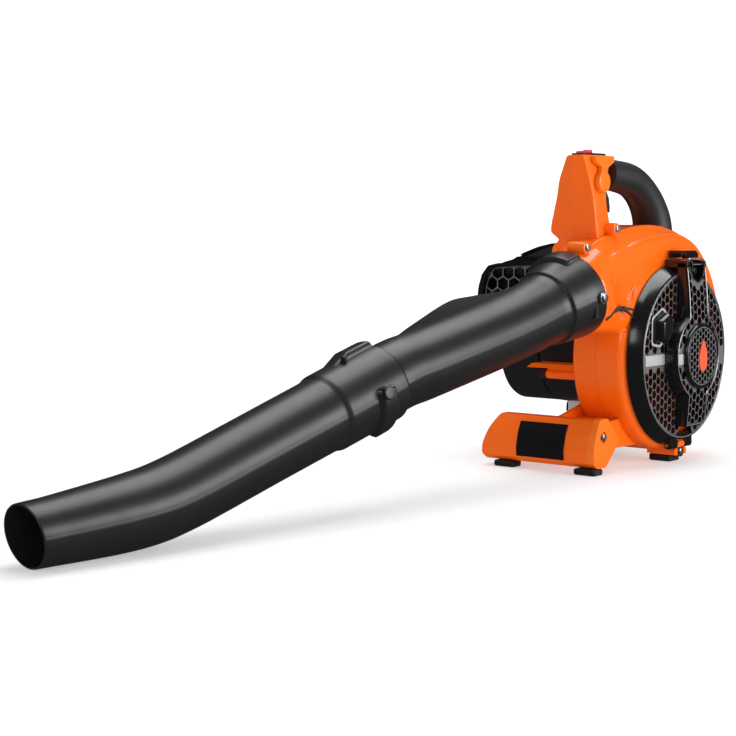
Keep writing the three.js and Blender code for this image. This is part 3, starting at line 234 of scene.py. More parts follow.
MATERIALS = {"orange_shell": surface("orange_shell", (0.93, 0.135, 0.003), 0.22, 0.9, 0.03, 0.03,
    coat=0.4), "orange_trim": surface("orange_trim", (0.93, 0.165, 0.006), 0.24, 0.9, 0.03, 0.03,
    coat=0.4), "black_gloss": surface("black_gloss", (0.006, 0.006, 0.0065), 0.16, 1.2, 0.02, 0.1,
    coat=0.3), "black_satin": surface("black_satin", (0.012, 0.012, 0.013), 0.37, 0.5, 0.10, 0.08,
    wear=0.3), "grip_rubber": surface("grip_rubber", (0.014, 0.014, 0.015), 0.48, 0.45, 0.16, 0.08),
    "black_rubber": surface("black_rubber", (0.010, 0.010, 0.010), 0.7, 0.7, 0.25, 0.15, wear=0.4),
    "red_switch": surface("red_switch", (0.60, 0.018, 0.04), 0.33, 0.8, 0.04, 0.04),
    "zinc_steel": surface("zinc_steel", (0.62, 0.62, 0.63), 0.28, 0.4, 0.1, 0.08, metallic=1.0,
    wear=0.3), "cast_aluminium": surface("cast_aluminium", (0.36, 0.365, 0.375), 0.5, 0.8, 0.5, 0.15,
    metallic=0.9, wear=0.4), "label_film": surface("label_film", (0.006, 0.006, 0.007), 0.3, 0.8, 0.04,
    0.1), "filter_foam": surface("filter_foam", (0.05, 0.05, 0.046), 0.95, 1.5, 0.9, 0.2, extra=pores),
    "woven_cord": surface("woven_cord", (0.05, 0.022, 0.016), 0.6, 0.3, 0.5, 0.2, extra=braid),
    "milky_tank": surface("milky_tank", (0.70, 0.68, 0.62), 0.38, 0.9, 0.08, 0.04),
    "clear_bulb": surface("clear_bulb", (0.72, 0.68, 0.55), 0.2, 0.9, 0.02, 0.04, coat=0.4),
    "white_ceramic": surface("white_ceramic", (0.82, 0.81, 0.77), 0.15, 0.9, 0.02, 0.03, coat=0.6),}
# Grey for the front faces of the glossy black grilles and for thin rims, edges and lips: a painted
# reflection on black plastic, not a colour of its own.
PAINTED_REFLECTION = surface("painted_reflection_grey", (0.30, 0.30, 0.31), 0.22, 0.9, 0.03, 0.1, metallic=0.6)
MARK = surface("coral_mark", (0.86, 0.10, 0.035), 0.3, 0.8, 0.04, 0.04, coat=0.3)
# Pale silver for the bars across the mesh and the knob's seat: a painted highlight on glossy black
# plastic.
PAINTED_HIGHLIGHT = surface("painted_highlight_silver", (0.55, 0.56, 0.58), 0.3, 0.8, 0.03, 0.03, metallic=0.3)


# ---- mesh helpers
def circle(radius, sides, centre=(0, 0)):
    return [(centre[0] + radius * math.cos(2 * math.pi * i / sides), centre[1]
        + radius * math.sin(2 * math.pi * i / sides)) for i in range(sides)]


def super_ellipse(across, up, power, sides):
    """Ring of plane points: power 2 is an ellipse, more is squarer."""
    def bulged(value):
        return math.copysign(abs(value) ** (2 / power), value)
    return [(bulged(c) * across, bulged(s) * up) for c, s in circle(1, sides)]


def around(centre, side, top, outline):
    return [centre + side * u + top * v for u, v in outline]


def spread(first, last, steps):
    return [mix(first, last, i / steps) for i in range(steps + 1)]


def mesh_object(name, bm):
    """Links a new object made of a mesh, and lets go of the mesh."""
    mesh = bpy.data.meshes.new(name)
    bm.to_mesh(mesh)
    bm.free()
    obj = bpy.data.objects.new(name, mesh)
    bpy.context.scene.collection.objects.link(obj)
    return obj


def add_bevel(obj, width, segments, angle):
    edges = obj.modifiers.new("edges", "BEVEL")
    edges.width = width * MM
    edges.segments = segments
    edges.limit_method = "ANGLE"
    edges.angle_limit = math.radians(angle)
    return edges


def piece(name, bm, body, slot, stands_for=(), material=None, bevel=0.0, segments=2, angle=35):
    """Makes an object of a mesh, gives it its finish and sets it riding on its body."""
    bmesh.ops.remove_doubles(bm, verts=bm.verts, dist=0.002 * MM)
    bmesh.ops.recalc_face_normals(bm, faces=bm.faces)
    obj = mesh_object(name, bm)
    obj.data.materials.append(material or MATERIALS[slot])
    obj.data.shade_smooth()
    if bevel:
        add_bevel(obj, bevel, segments, angle).harden_normals = True
    else:
        obj.data.set_sharp_from_angle(angle=math.radians(angle))
    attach(obj, body)
    if stands_for:
        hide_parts(*stands_for)
    return obj


def cover_piece(name, bm, stands_for=(), **look):
    return piece(name, bm, "intake_cover_body", "black_gloss", stands_for, **look)


def evaluated(obj, *spent):
    """Mesh of an object with its modifiers applied; the objects are then removed."""
    result = bmesh.new()
    result.from_object(obj, bpy.context.evaluated_depsgraph_get())
    for used in (obj, *spent):
        bpy.data.objects.remove(used)
    return result


def boolean(bm, cutter, operation="DIFFERENCE"):
    """Cuts or joins one closed mesh with another, and returns the result."""
    objects = []
    for name, source in (("target", bm), ("cutter", cutter)):
        bmesh.ops.recalc_face_normals(source, faces=source.faces)
        objects.append(mesh_object(name, source))
    target, tool = objects
    change = target.modifiers.new("cut", "BOOLEAN")
    change.operation = operation
    change.solver = "MANIFOLD"
    change.object = tool
    return evaluated(target, tool)


def cut(bm, *cutters):
    for cutter in cutters:
        bm = boolean(bm, cutter)
    return bm


def joined(bm, *others):
    for other in others:
        bm = boolean(bm, other, "UNION")
    return bm


def skin(rings, closed_path=False, caps=True):
    """Surface through rings of points; each ring is closed on itself."""
    bm = bmesh.new()
    rows = [[bm.verts.new(p) for p in ring] for ring in rings]
    count = len(rows[0])
    pairs = list(zip(rows, rows[1:]))
    if closed_path:
        pairs.append((rows[-1], rows[0]))
    for first, second in pairs:
        for i in range(count):
            j = (i + 1) % count
            bm.faces.new((first[i], first[j], second[j], second[i]))
    if caps and not closed_path:
        for row in (rows[0], rows[-1]):
            middle = bm.verts.new(sum((v.co for v in row), Vector()) / count)
            for i in range(count):
                bm.faces.new((row[i], row[(i + 1) % count], middle))
    return bm


def sides_of(direction):
    """Level and upward directions square to another one."""
    side = direction.cross(Vector((0, 0, 1))).normalized()
    return side, side.cross(direction)


def section(centre, direction, across, up, power=2.0, sides=64):
    """Ring of design points facing along a direction."""
    side, top = sides_of(direction.normalized())
    return around(centre, side, top, super_ellipse(across, up, power, sides))


def placed(rings):
    return [[at(*p) for p in ring] for ring in rings]


def lathe(profile, sides=96, y=0, z=CRANK_Z, closed=True):
    """Turned about an axis along X from (x, radius) points; a closed profile makes a ring."""
    return skin([[at(x, *p) for p in circle(r, sides, (y, z))] for x, r in profile], closed_path=closed)


def corner(before, here, after, radius, steps, by_distance=False):
    """Rounded corner of an outline; by_distance reads radius as how far out the curve starts."""
    here = Vector(here)
    back, on = Vector(before) - here, Vector(after) - here
    run = radius if by_distance else radius / math.tan(back.angle(on) / 2)
    run = min(run, back.length * 0.45, on.length * 0.45)
    a, b = here + back.normalized() * run, here + on.normalized() * run
    return [tuple((1 - t) ** 2 * a + 2 * t * (1 - t) * here + t * t * b) for t in (k / steps
        for k in range(steps + 1))]


def rounded(points, radius, steps=4):
    """Polygon outline with its corners rounded."""
    outline = []
    for i, here in enumerate(points):
        outline += corner(points[i - 1], here, points[(i + 1) % len(points)], radius, steps)
    return outline


def eased(points, radius, steps=3):
    """Open outline with its inner corners rounded."""
    outline = [tuple(points[0])]
    for before, here, after in zip(points, points[1:], points[2:]):
        outline += corner(before, here, after, radius, steps, by_distance=True)
    return outline + [tuple(points[-1])]


def prism(outline, low, high, axis="x"):
    """Solid between two values of an axis. The outline is in the other two axes, in order."""
    def point(a, b, c):
        return {"x": (c, a, b), "y": (a, c, b), "z": (a, b, c)}[axis]
    bm = bmesh.new()
    ends = [[bm.verts.new(at(*point(a, b, c))) for a, b in outline] for c in (low, high)]
    count = len(outline)
    for i in range(count):
        j = (i + 1) % count
        bm.faces.new((ends[0][i], ends[0][j], ends[1][j], ends[1][i]))
    for end in ends:
        bm.faces.new(end)
    return bm


def merged(*meshes):
    """One mesh that holds several."""
    whole = bmesh.new()
    for bm in meshes:
        mesh = bpy.data.meshes.new("part")
        bm.to_mesh(mesh)
        bm.free()
        whole.from_mesh(mesh)
        bpy.data.meshes.remove(mesh)
    return whole


def bar(a, b, radius, sides=24, end_radius=None, round_end=0.0):
    """Round bar between two design points, with an optional rounded far edge."""
    a, b = Vector(a), Vector(b)
    along = (b - a).normalized()
    end_radius = radius if end_radius is None else end_radius
    stations = [(0.0, radius)]
    length = (b - a).length
    if round_end:
        stations.append((length - round_end, end_radius))
        for k in range(1, 5):
            t = k / 4 * math.pi / 2
            stations.append((length - round_end * (1 - math.sin(t)), end_radius - round_end * (1
                - math.cos(t))))
    else:
        stations.append((length, end_radius))
    side = along.orthogonal().normalized()
    top = along.cross(side)
    return skin(placed([around(a + along * s, side, top, circle(r, sides)) for s, r in stations]))


def hermite(points, value):
    """Smooth curve y(x) through points, with slopes taken from their neighbours."""
    for i in range(len(points) - 1):
        if value <= points[i + 1][0] or i == len(points) - 2:
            break
    x0, y0 = points[i]
    x1, y1 = points[i + 1]

    def slope(k):
        if k <= 0:
            return (points[1][1] - points[0][1]) / (points[1][0] - points[0][0])
        if k >= len(points) - 1:
            return (points[-1][1] - points[-2][1]) / (points[-1][0] - points[-2][0])
        return (points[k + 1][1] - points[k - 1][1]) / (points[k + 1][0] - points[k - 1][0])

    width = x1 - x0
    t = (value - x0) / width
    return ((2 * t ** 3 - 3 * t ** 2 + 1) * y0 + (t ** 3 - 2 * t ** 2 + t) * width * slope(i)
        + (3 * t ** 2 - 2 * t ** 3) * y1 + (t ** 3 - t ** 2) * width * slope(i + 1))


def columns_at(rows, value):
    """Each further column of a table, read smoothly at a value of its first column."""
    return [hermite([(row[0], row[k]) for row in rows], value) for k in range(1, len(rows[0]))]


def through(points, steps):
    """Smooth path through points."""
    numbered = [(i, *p) for i, p in enumerate(points)]
    return [Vector(columns_at(numbered, k / steps * (len(points) - 1))) for k in range(steps + 1)]


def sweep(path, radius, sides=20):
    """Round strand along a path; radius(share) is its radius on the way."""
    rings = []
    side = Vector((1, 0, 0.01))
    for i, point in enumerate(path):
        along = (path[min(i + 1, len(path) - 1)] - path[max(i - 1, 0)]).normalized()
        side = (side - along * side.dot(along)).normalized()
        ring = circle(radius(i / (len(path) - 1)), sides)
        rings.append(around(point, side, along.cross(side), ring))
    return skin(placed(rings))


def blended(bm, voxel, smoothing):
    """Melts overlapping solids into one skin with soft corners."""
    bmesh.ops.recalc_face_normals(bm, faces=bm.faces)
    obj = mesh_object("blend", bm)
    remesh = obj.modifiers.new("remesh", "REMESH")
    remesh.mode = "VOXEL"
    remesh.voxel_size = voxel * MM
    smooth = obj.modifiers.new("smooth", "SMOOTH")
    smooth.factor = 0.5
    smooth.iterations = smoothing
    return evaluated(obj)


def box(xs, ys, zs):
    return prism([(ys[0], zs[0]), (ys[1], zs[0]), (ys[1], zs[1]), (ys[0], zs[1])], *xs)


def rod_x(x0, x1, y, z, radius, sides=48, end_radius=None, round_end=0.0):
    return bar((x0, y, z), (x1, y, z), radius, sides, end_radius, round_end)


def hinge_rod(half, radius, sides=24):
    return bar((HINGE_X, -half, HINGE_Z), (HINGE_X, half, HINGE_Z), radius, sides)


# ---- the blow tube's axis
# (forward of the mouth, height, downward tilt)
CENTRELINE = ((-10, 205.6, 16.5), (0.4, 202.5, 16.5), (50, 187.8, 16.5), (58, 185.4, 16.5), (100, 173.2,
    16), (145, 162.2, 12.6), (215, 146.9, 12.3), (262, 137, 13.5), (282, 133.3, 15.5), (300, 128.4,
    17.2), (394, 99.2, 17.2), (470, 75.8, 17.2), (552, 50.4, 16.6), (574, 44.3, 14.8), (596, 39.2, 11),
    (620, 35.8, 7), (650, 33.1, 4.6), (710, 29.4, 4.6), (732, 28.4, 10), (740, 27.6, 10))


def heading(yaw, tilt):
    """Direction of the blow, from its sideways and downward turns in degrees."""
    yaw, tilt = math.radians(yaw), math.radians(tilt)
    return Vector((-math.sin(yaw) * math.cos(tilt), -math.cos(yaw) * math.cos(tilt), -math.sin(tilt)))


def on_axis(forward):
    """Point and direction of the tube's axis."""
    z, tilt = columns_at(CENTRELINE, forward)
    x = HOUSING_SEAM_X - forward * math.tan(math.radians(TUBE_YAW))
    return Vector((x, MOUTH_Y - forward, z)), heading(TUBE_YAW, tilt)


def beside_axis(forward, distance, angle):
    """Point off the axis: 0 degrees is level on the intake side and 90 is up."""
    point, direction = on_axis(forward)
    side, top = sides_of(direction)
    turn = math.radians(angle)
    return point - side * (distance * math.cos(turn)) + top * (distance * math.sin(turn))


def tube_solid(profile, sides=128, seam=0.0):
    """Solid about the tube's axis from (forward, radius) points, with fine mould seams."""
    stations = []
    for (f0, r0), (f1, r1) in zip(profile, profile[1:]):
        count = max(1, round((f1 - f0) / 7))
        stations += [(mix(f0, f1, i / count), mix(r0, r1, i / count)) for i in range(count)]
    stations.append(profile[-1])
    rings = []
    for forward, radius in stations:
        point, direction = on_axis(forward)
        ring = section(point, direction, radius, radius, 2, sides)
        if seam:
            for i in (0, sides // 2):
                ring[i] = point + (ring[i] - point) * ((radius + seam) / radius)
        rings.append(ring)
    return skin(placed(rings))


# ---- fan housing
def scroll_ring(place):
    """Loop around the scroll: place(share) is its x and inset, share the shoulder's part."""
    first, shoulder_from, steps, outlet_steps = -19, 245, 120, 24
    points = []
    for i in range(steps + 1):
        angle = mix(first, 270, i / steps)
        ramp = max(angle - shoulder_from, 0) / (270 - shoulder_from)
        x, inset = place(SHOULDER_AT_TOP * ramp)
        r = SCROLL_START_R + SCROLL_GROWTH * (max(angle, 0) / 270) ** 3 - inset
        turn = math.radians(angle)
        points.append(Vector((x, -r * math.cos(turn), CRANK_Z - r * math.sin(turn))))
    back_y = OUTLET_BACK_Y + place(0)[1]
    points[0].y = back_y
    top = points[-1].copy()
    crest = Vector((top.x, -50, top.z + 7))
    end = Vector((top.x, back_y, top.z - 6))
    for i in range(1, outlet_steps + 1):
        t = i / outlet_steps
        curve = (1 - t) ** 2 * top + 2 * t * (1 - t) * crest + t * t * end
        x, inset = place(mix(SHOULDER_AT_TOP, 1, t))
        points.append(Vector((x, curve.y, curve.z - inset + place(SHOULDER_AT_TOP)[1])))
    return points


def scroll_body(x0, x1, inset, edge):
    steps = 10

    def engine_side(i):
        t = i / steps * math.pi / 2
        here = (x0 + edge * (1 - math.sin(t)), inset + edge * (1 - math.cos(t)))
        return scroll_ring(lambda share: here)

    def intake_side(i):
        s = i / steps
        t = s * math.pi / 2
        edge_x, edge_inset = x1 - edge * (1 - math.sin(t)), inset + edge * (1 - math.cos(t))
        low, high = SHOULDER[:2] if s < 0.5 else SHOULDER[1:]
        part = 2 * s if s < 0.5 else 2 * s - 1
        shoulder_x = mix(low[0], high[0], part) + x1 - HOUSING_OUTER_X
        shoulder_inset = mix(low[1], high[1], part) + inset
        return scroll_ring(lambda share: (mix(edge_x, shoulder_x, share), mix(edge_inset,
            shoulder_inset, share)))

    rings = [engine_side(i) for i in range(steps, -1, -1)]
    rings += [intake_side(i) for i in range(steps + 1)]
    return skin(placed(rings))


def shoulder_room(inset):
    """Room that continues the scroll's shoulder along the neck."""
    start, crease, foot = [(x - inset, drop + inset) for x, drop in SHOULDER]
    far = 60
    rings = []
    for y, top, share in ((-70, 277, 0.9), (-104, 271, 1), (-126, 265, 1), (-152, 255, 0.9)):
        outline = [(start[0], -start[1]), (crease[0], -crease[1] * share), (foot[0], -foot[1] * share),
            (far, -foot[1] * share), (far, far), (start[0], far)]
        rings.append([Vector((x, y, top + height)) for x, height in outline])
    return skin(placed(rings))


# y, z, tilt, half across, half up, power, share of the tube's yaw
NECK = ((-78, 218, 0, 35.4, 57, 9, 0), (-104, 215.4, 2, 35.6, 55.2, 8, 0), (-126, 211.2, 8.25, 38.5,
    53.8, 4, 0.5), (-146, 207, 13.2, 44, 50.8, 2.6, 0.8), (MOUTH_Y, MOUTH_Z, MOUTH_TILT, 47.2, 47.2, 2,
    1))


def neck(inset):
    middle_x = (HOUSING_INNER_X + HOUSING_OUTER_X) / 2
    table = [(-row[0], *row[1:]) for row in NECK]
    rings = []
    for y in spread(NECK[0][0], NECK[-1][0], 22):
        z, tilt, across, up, power, turn = columns_at(table, -y)
        rings.append(section(Vector((middle_x - 0.5 * turn, y, z)), heading(TUBE_YAW * turn, tilt),
            across - inset, up - inset, power, 96))
    return boolean(skin(placed(rings)), shoulder_room(inset))


BOSSES = ((-20, 2, -168.5, 254.4), (-20, 6, -112, 274.5))


def crease_bead():
    """Raised line along the shoulder's crease, fading out at both ends."""
    loop = scroll_ring(lambda share: (mix(12.4, 13.6, share), mix(3.6, 18.4, share)))
    path = loop[88:] + [Vector((13.6, -126, 246.4)), Vector((13.2, -146, 240.4))]
    return sweep(path, lambda share: 0.5 + 2.3 * math.sin(math.pi * share) ** 0.5, 16)


def make_housing():
    body = blended(merged(scroll_body(HOUSING_INNER_X, HOUSING_OUTER_X, 0, HOUSING_EDGE_R), neck(0),
        crease_bead(), tube_solid([(-3, 45.2), (2, 45.2), (36, 41)])), 1.5, 2)
    hollow = blended(merged(scroll_body(HOUSING_INNER_X + 3, HOUSING_OUTER_X - 3, 3, HOUSING_EDGE_R
        - 3), neck(3), tube_solid([(-4, 42), (40, 38)])), 2.6, 2)
    shell = boolean(body, hollow)
    shell = cut(shell, rod_x(HOUSING_OUTER_X - 6, HOUSING_OUTER_X + 6, 0, CRANK_Z, EYE_R, 128),
        rod_x(HOUSING_INNER_X - 6, HOUSING_INNER_X + 6, 0, CRANK_Z, 24, 96))
    outer = boolean(shell.copy(), box((HOUSING_SEAM_X, 60), (-400, 400), (-10, 400)), "INTERSECT")
    inner = boolean(shell, box((-120, HOUSING_SEAM_X - 0.3), (-400, 400), (-10, 400)), "INTERSECT")
    for x0, x1, y, z in BOSSES:
        outer = joined(outer, rod_x(x0, x1, y, z, 7.4, 48, 7.1, 1.6))
        outer = cut(outer, rod_x(x1 - 12, x1 + 1, y, z, 2.3))
    outer = joined(outer, prism(rounded([(-11, 8.4), (17, 8.4), (17, 16.2), (-11, 16.2)], 2), -10, 27),
        prism([(-8, 16.5), (8, 16.5), (8, 25), (-8, 25)], 10, 25), hinge_rod(8, 4.6, 40))
    outer = cut(outer, hinge_rod(12, 2.2), rod_x(15, 28, *HINGE_SCREW, 2.3), rod_x(0, 40, *COLLAR_BOLT,
        2.6))
    for foot, top in (((15, -107.5, 194), (17.4, -92.4, 209.5)), ((15, -93.6, 184), (17.4, -92.4,
            209.5))):
        outer = joined(outer, bar(foot, top, 2.2, 24, 1.2))
    piece("housing_intake_half", outer, "root", "orange_shell", ["volute_outer_shell"], angle=40)
    piece("housing_engine_half", inner, "root", "orange_shell", ["volute_inner_shell"], angle=40)


# ---- stand
STAND_OUTLINE = ((-158, 7.6), (-165, 13), (-166, 26), (-161.5, 44), (-152.5, 61), (-137, 61), (-112,
    34), (-140, 7.6))


def make_stand():
    mask = [(20, 0), (20, 70), (-112, 70)]
    corners = [Vector(p) for p in ((-112, 70), (-126, 62), (-140, 38), (-141, 16))]
    for i in range(1, 17):
        t = i / 16
        mask.append(tuple((1 - t) ** 3 * corners[0] + 3 * t * (1 - t) ** 2 * corners[1] + 3 * t * t * (1
            - t) * corners[2] + t ** 3 * corners[3]))
    mask.append((-136, 0))
    beam = boolean(prism(rounded(STAND_OUTLINE, 4, 5), -142, 3), prism(mask, -190, -90, "y"),
        "INTERSECT")
    beam = joined(beam, prism(rounded([(-145, 24), (-145, 52), (-60, 60), (-45, 24)], 3), -52, -2),
        prism([(-143, 54), (-70, 56), (-70, 74), (-143, 58)], -57, -51))
    piece("stand", beam, "root", "orange_shell", ["stand_bar"], bevel=1.1, segments=3, angle=40)

    scale = 1.03
    outline = [(-140 + (y + 140) * scale, 7.6 + (z - 7.6) * scale) for y, z in STAND_OUTLINE]
    cap = boolean(prism(rounded(outline, 5, 5), 3.3, 12), rod_x(9.5, 14, *CAP_SCREW, 6.4))
    cap = cut(cap, rod_x(2, 14, *CAP_SCREW, 2.3))
    piece("stand_cap", cap, "root", "orange_trim", ["stand_end_cap"], bevel=1.6, segments=4)


# ---- handle
POST = ((236, -72, -133, -96), (255, -69, -134, -98), (261, -61.5, -135, -100), (263, -60.5, -135,
    -100), (265.5, -63.5, -135.5, -101), (272, -70, -137, -104), (297, -62.5, -142, -113), (312, -56.5,
    -146, -116), (330, -49, -153, -115), (343, -40.5, -159, -111), (357, -30, -167, -105))
GRIP = ((-103.5, 337, 17.2), (-87, 336, 17.6), (-56, 332.3, 18.6), (-36, 326, 18.8), (-18, 315, 19.4),
    (-3, 300, 20.6), (6, 284, 22), (9, 268, 23), (10, 258, 23.4))


def make_post():
    rings = []
    for z in [236 + 3 * i for i in range(40)] + [355.4, 357]:
        left, front, rear = columns_at(POST, z)
        crease = -40 + (-133 - front) * 0.612
        shrink = 1.2 if z == 357 else 0
        corners = [(left + shrink, rear - shrink), (left - 1 + shrink, front + 6 + shrink), (crease,
            front + shrink), (POST_X - 1 - shrink, front + 2 + shrink), (POST_X - shrink, rear
            - shrink)]
        rings.append([(x, y, z) for x, y in rounded(corners, 2.6, 5)])
    body = skin(placed(rings))
    body = cut(body, box((-45, -12), (-126, -100), (276, 322)), box((-27, -9), (-156, -111), (346,
        362)), box((-26, -12), (-128, -96), (300, 334)), rod_x(POST_X - 8, POST_X + 2, *LOCK_PIVOT,
        3.3))
    piece("handle_column", body, "root", "orange_shell", ["handle_post"], bevel=0.6, angle=50)


def make_grip():
    rings = []
    steps, sides = 60, 72
    numbered = [(k, *row) for k, row in enumerate(GRIP)]
    for i in range(steps + 1):
        place = i / steps * (len(GRIP) - 1)
        y, z, r = columns_at(numbered, place)
        ahead, behind = columns_at(numbered, place + 0.02), columns_at(numbered, place - 0.02)
        direction = Vector((0, behind[0] - ahead[0], behind[1] - ahead[1]))
        across = Vector((1, 0, 0))
        outline = super_ellipse(r, r, 2.2, sides)
        for k in (sides // 4, 3 * sides // 4):
            outline[k] = (outline[k][0], outline[k][1] * 0.985)
        rings.append(around(Vector((GRIP_X, y, z)), across, across.cross(direction.normalized()),
            outline))
    piece("grip", skin(placed(rings)), "root", "grip_rubber", ["handle_grip"], angle=50)


def make_controls():
    rim = boolean(prism(rounded([(-158, 354), (-113, 354), (-113, 359.5), (-158, 359.5)], 2.2), -26.5,
        -9.5), box((-24, -12), (-156.2, -132.8), (350, 370)))
    piece("switch_surround", rim, "root", "black_satin", ["switch_bezel"], bevel=0.8, segments=3)
    rocker = prism(rounded([(-154.4, 353), (-154.4, 362), (-146, 360.5), (-137, 364), (-134.6, 353)],
        2), -23.4, -12.6)
    for i in range(3):
        y = -152.6 + 2.2 * i
        rocker = cut(rocker, rod_x(-22, -14, y, 362.4 - 0.4 * i, 0.5, 12))
    piece("stop_rocker", rocker, "switch_body", "red_switch", ["stop_switch"], bevel=0.9, segments=3)
    blade = prism(rounded([(-111, 316), (-104, 317), (-98.5, 309.5), (-96.5, 299), (-97, 293), (-100.5,
        294), (-104, 302), (-111, 308)], 2.2), -23, -13.5)
    blade = cut(blade, rod_x(-30, -5, -108, 312, 1.8))
    piece("trigger", blade, "trigger_body", "black_satin", ["throttle_trigger"], bevel=1.6, segments=3)
    x0 = POST_X + 0.4
    disc = rod_x(x0, x0 + 5.6, *LOCK_PIVOT, 12.3, 72, 12.0, 1.6)
    lever = boolean(disc, prism(rounded([(-137, 333), (-121, 333), (-124, 347), (-134, 347)], 2), x0, x0
        + 4.4), "UNION")
    lever = joined(lever, prism(rounded([(-134, 343), (-149, 349.5), (-149, 356.5), (-110, 356.5),
        (-110, 350), (-124, 343)], 3.4, 5), x0, x0 + 5.4), rod_x(POST_X - 7, POST_X + 1, *LOCK_PIVOT,
        3))
    for i in range(10):
        turn = math.radians(36 * i)
        y, z = LOCK_PIVOT[0] + 12.8 * math.cos(turn), LOCK_PIVOT[1] + 12.8 * math.sin(turn)
        if z < 333:
            lever = cut(lever, rod_x(x0 + 1.2, x0 + 7, y, z, 1.1, 16))
    piece("throttle_lock", lever, "lock_lever_body", "orange_trim", ["throttle_lock_lever"], bevel=0.7,
        segments=3, angle=50)


# ---- blow tube
# flat shoulder on the far side: forward, axis height, reach sideways, height of its edge
SHOULDER_WING = ((62, 184, 42, 22), (84, 178, 47, 27), (112, 170, 50, 33), (150, 161, 50, 38), (200,
    150, 49, 30), (240, 141.5, 44, 23), (270, 135.4, 36, 14))


def wrapped_pad(profile, low, high, inner):
    """Pad wrapped round the tube between two angles, with rounded ends; the profile is
    (forward, distance from the axis)."""
    steps, edge = 36, 5
    rings = []
    for forward, outer in profile:
        ring = []
        for i in range(steps + 1):
            share = i / steps
            from_end = min(share, 1 - share) * math.radians(high - low) * outer
            fall = 1 - min(from_end / edge, 0.98)
            height = mix(inner, outer, math.sqrt(max(1 - fall * fall, 0.02)))
            ring.append(beside_axis(forward, height, mix(low, high, share)))
        ring += [beside_axis(forward, inner, mix(high, low, i / steps)) for i in range(steps + 1)]
        rings.append(ring)
    return skin(placed(rings))


def far_shoulder():
    rings = []
    for forward in spread(SHOULDER_WING[0][0], SHOULDER_WING[-1][0], 40):
        z, reach, edge = columns_at(SHOULDER_WING, forward)
        point, direction = on_axis(forward)
        outline = rounded([(-6, 35), (-reach, edge), (2 - reach, edge - 9), (-33, -10), (-12, 0)], 3)
        rings.append([Vector((point.x + across, point.y, z + up)) for across, up in outline])
    return skin(placed(rings))


def make_upper_tube():
    profile = eased([(0.4, 46.8), (2.2, 48.2), (14, 47.6), (49, 42.6), (51.5, 39.4), (60, 38.3), (100,
        37.5), (145, 37), (215, 36.6), (282, 36.3), (309, 36.2), (310.5, 34.6), (364, 34.6)], 1.6)
    body = tube_solid(profile, seam=0.25)
    collar_lip = wrapped_pad(eased([(0.6, 46), (1.4, 50.6), (4, 51.6), (22, 51.2), (27, 45)], 2), 62,
        142, 43)
    boss = rod_x(10, 28.4, *COLLAR_BOLT, 8, 48, 7.6, 1.4)
    strut = prism(rounded([(-186, 178), (-180, 178), (-180, 197), (-186, 197)], 1), 12, 25)
    body = joined(body, collar_lip, far_shoulder(), boss, strut)
    body = cut(body, tube_solid([(-6, 45.8), (2, 45.6), (37, 41.4), (44, 36.6), (58, 36), (100, 35.3),
        (215, 34.4), (262, 34.2), (290, 32.6), (372, 32.4)], 96), rod_x(0, 40, *COLLAR_BOLT, 2.6))
    peg = bar(beside_axis(PEG_FORWARD, 33.6, 0), beside_axis(PEG_FORWARD, 42.2, 0), 4, 40, 4, 1)
    body = joined(body, peg)
    piece("tube_rear", body, "root", "black_satin", ["upper_tube"], angle=38)


def make_lower_tube():
    profile = eased([(312, 38.6), (313, 40.2), (388, 39.3), (393.4, 36.9), (470, 35.9), (552, 35.1),
        (596, 34.6), (620, 34), (650, 32.6), (710, 29), (731.2, 28.4), (732, 27.9)], 1.6)
    body = tube_solid(profile, seam=0.25)
    for low, high in ((-68, 16), (164, 248)):
        side = wrapped_pad(eased([(330, 39), (333.4, 45), (351, 45), (355, 39)], 2), low, high, 37.5)
        body = joined(body, side)
    latch_pad = wrapped_pad(eased([(313.4, 39), (315, 46), (346, 46), (366, 39.4)], 2), 84, 116, 37.5)
    button = bar(beside_axis(345, 38, 8), beside_axis(345, 47.8, 8), 7.2, 48, 6.9, 1.6)
    knob = bar(beside_axis(354, 38, 84), beside_axis(354, 46, 84), 3.4, 32, 3.2, 1)
    body = joined(body, latch_pad, button, knob)
    body = cut(body, tube_solid([(300, 36.6), (372, 35), (392, 34.4), (552, 32.9), (596, 32.4), (620,
        31.8), (650, 30.4), (710, 27.2), (738, 26.6)], 96))
    channel = []
    for forward in (PEG_FORWARD - 4.5, PEG_FORWARD + 4.5):
        arc = [beside_axis(forward, 42.7, -27.5 + 35 * k / 8) for k in range(9)]
        arc += [beside_axis(forward, 30, 7.5 - 35 * k / 8) for k in range(9)]
        channel.append(arc)
    body = cut(body, skin(placed(channel)))
    piece("tube_front", body, "nozzle_tube_body", "black_satin", ["lower_tube"], angle=38)


# ---- intake cover
def clipped(subject, clip):
    """Part of a polygon that lies inside a convex one that runs anticlockwise."""
    shape = list(subject)
    for i, a in enumerate(clip):
        b = clip[(i + 1) % len(clip)]

        def side(p):
            return (b[0] - a[0]) * (p[1] - a[1]) - (b[1] - a[1]) * (p[0] - a[0])

        result = []
        for j, p in enumerate(shape):
            before = shape[j - 1]
            if (side(p) >= 0) != (side(before) >= 0):
                t = side(before) / (side(before) - side(p))
                result.append((mix(before[0], p[0], t), mix(before[1], p[1], t)))
            if side(p) >= 0:
                result.append(p)
        shape = result
        if not shape:
            break
    return shape


def area(shape):
    return sum(p[0] * q[1] - q[0] * p[1] for p, q in zip(shape, shape[1:] + shape[:1])) / 2


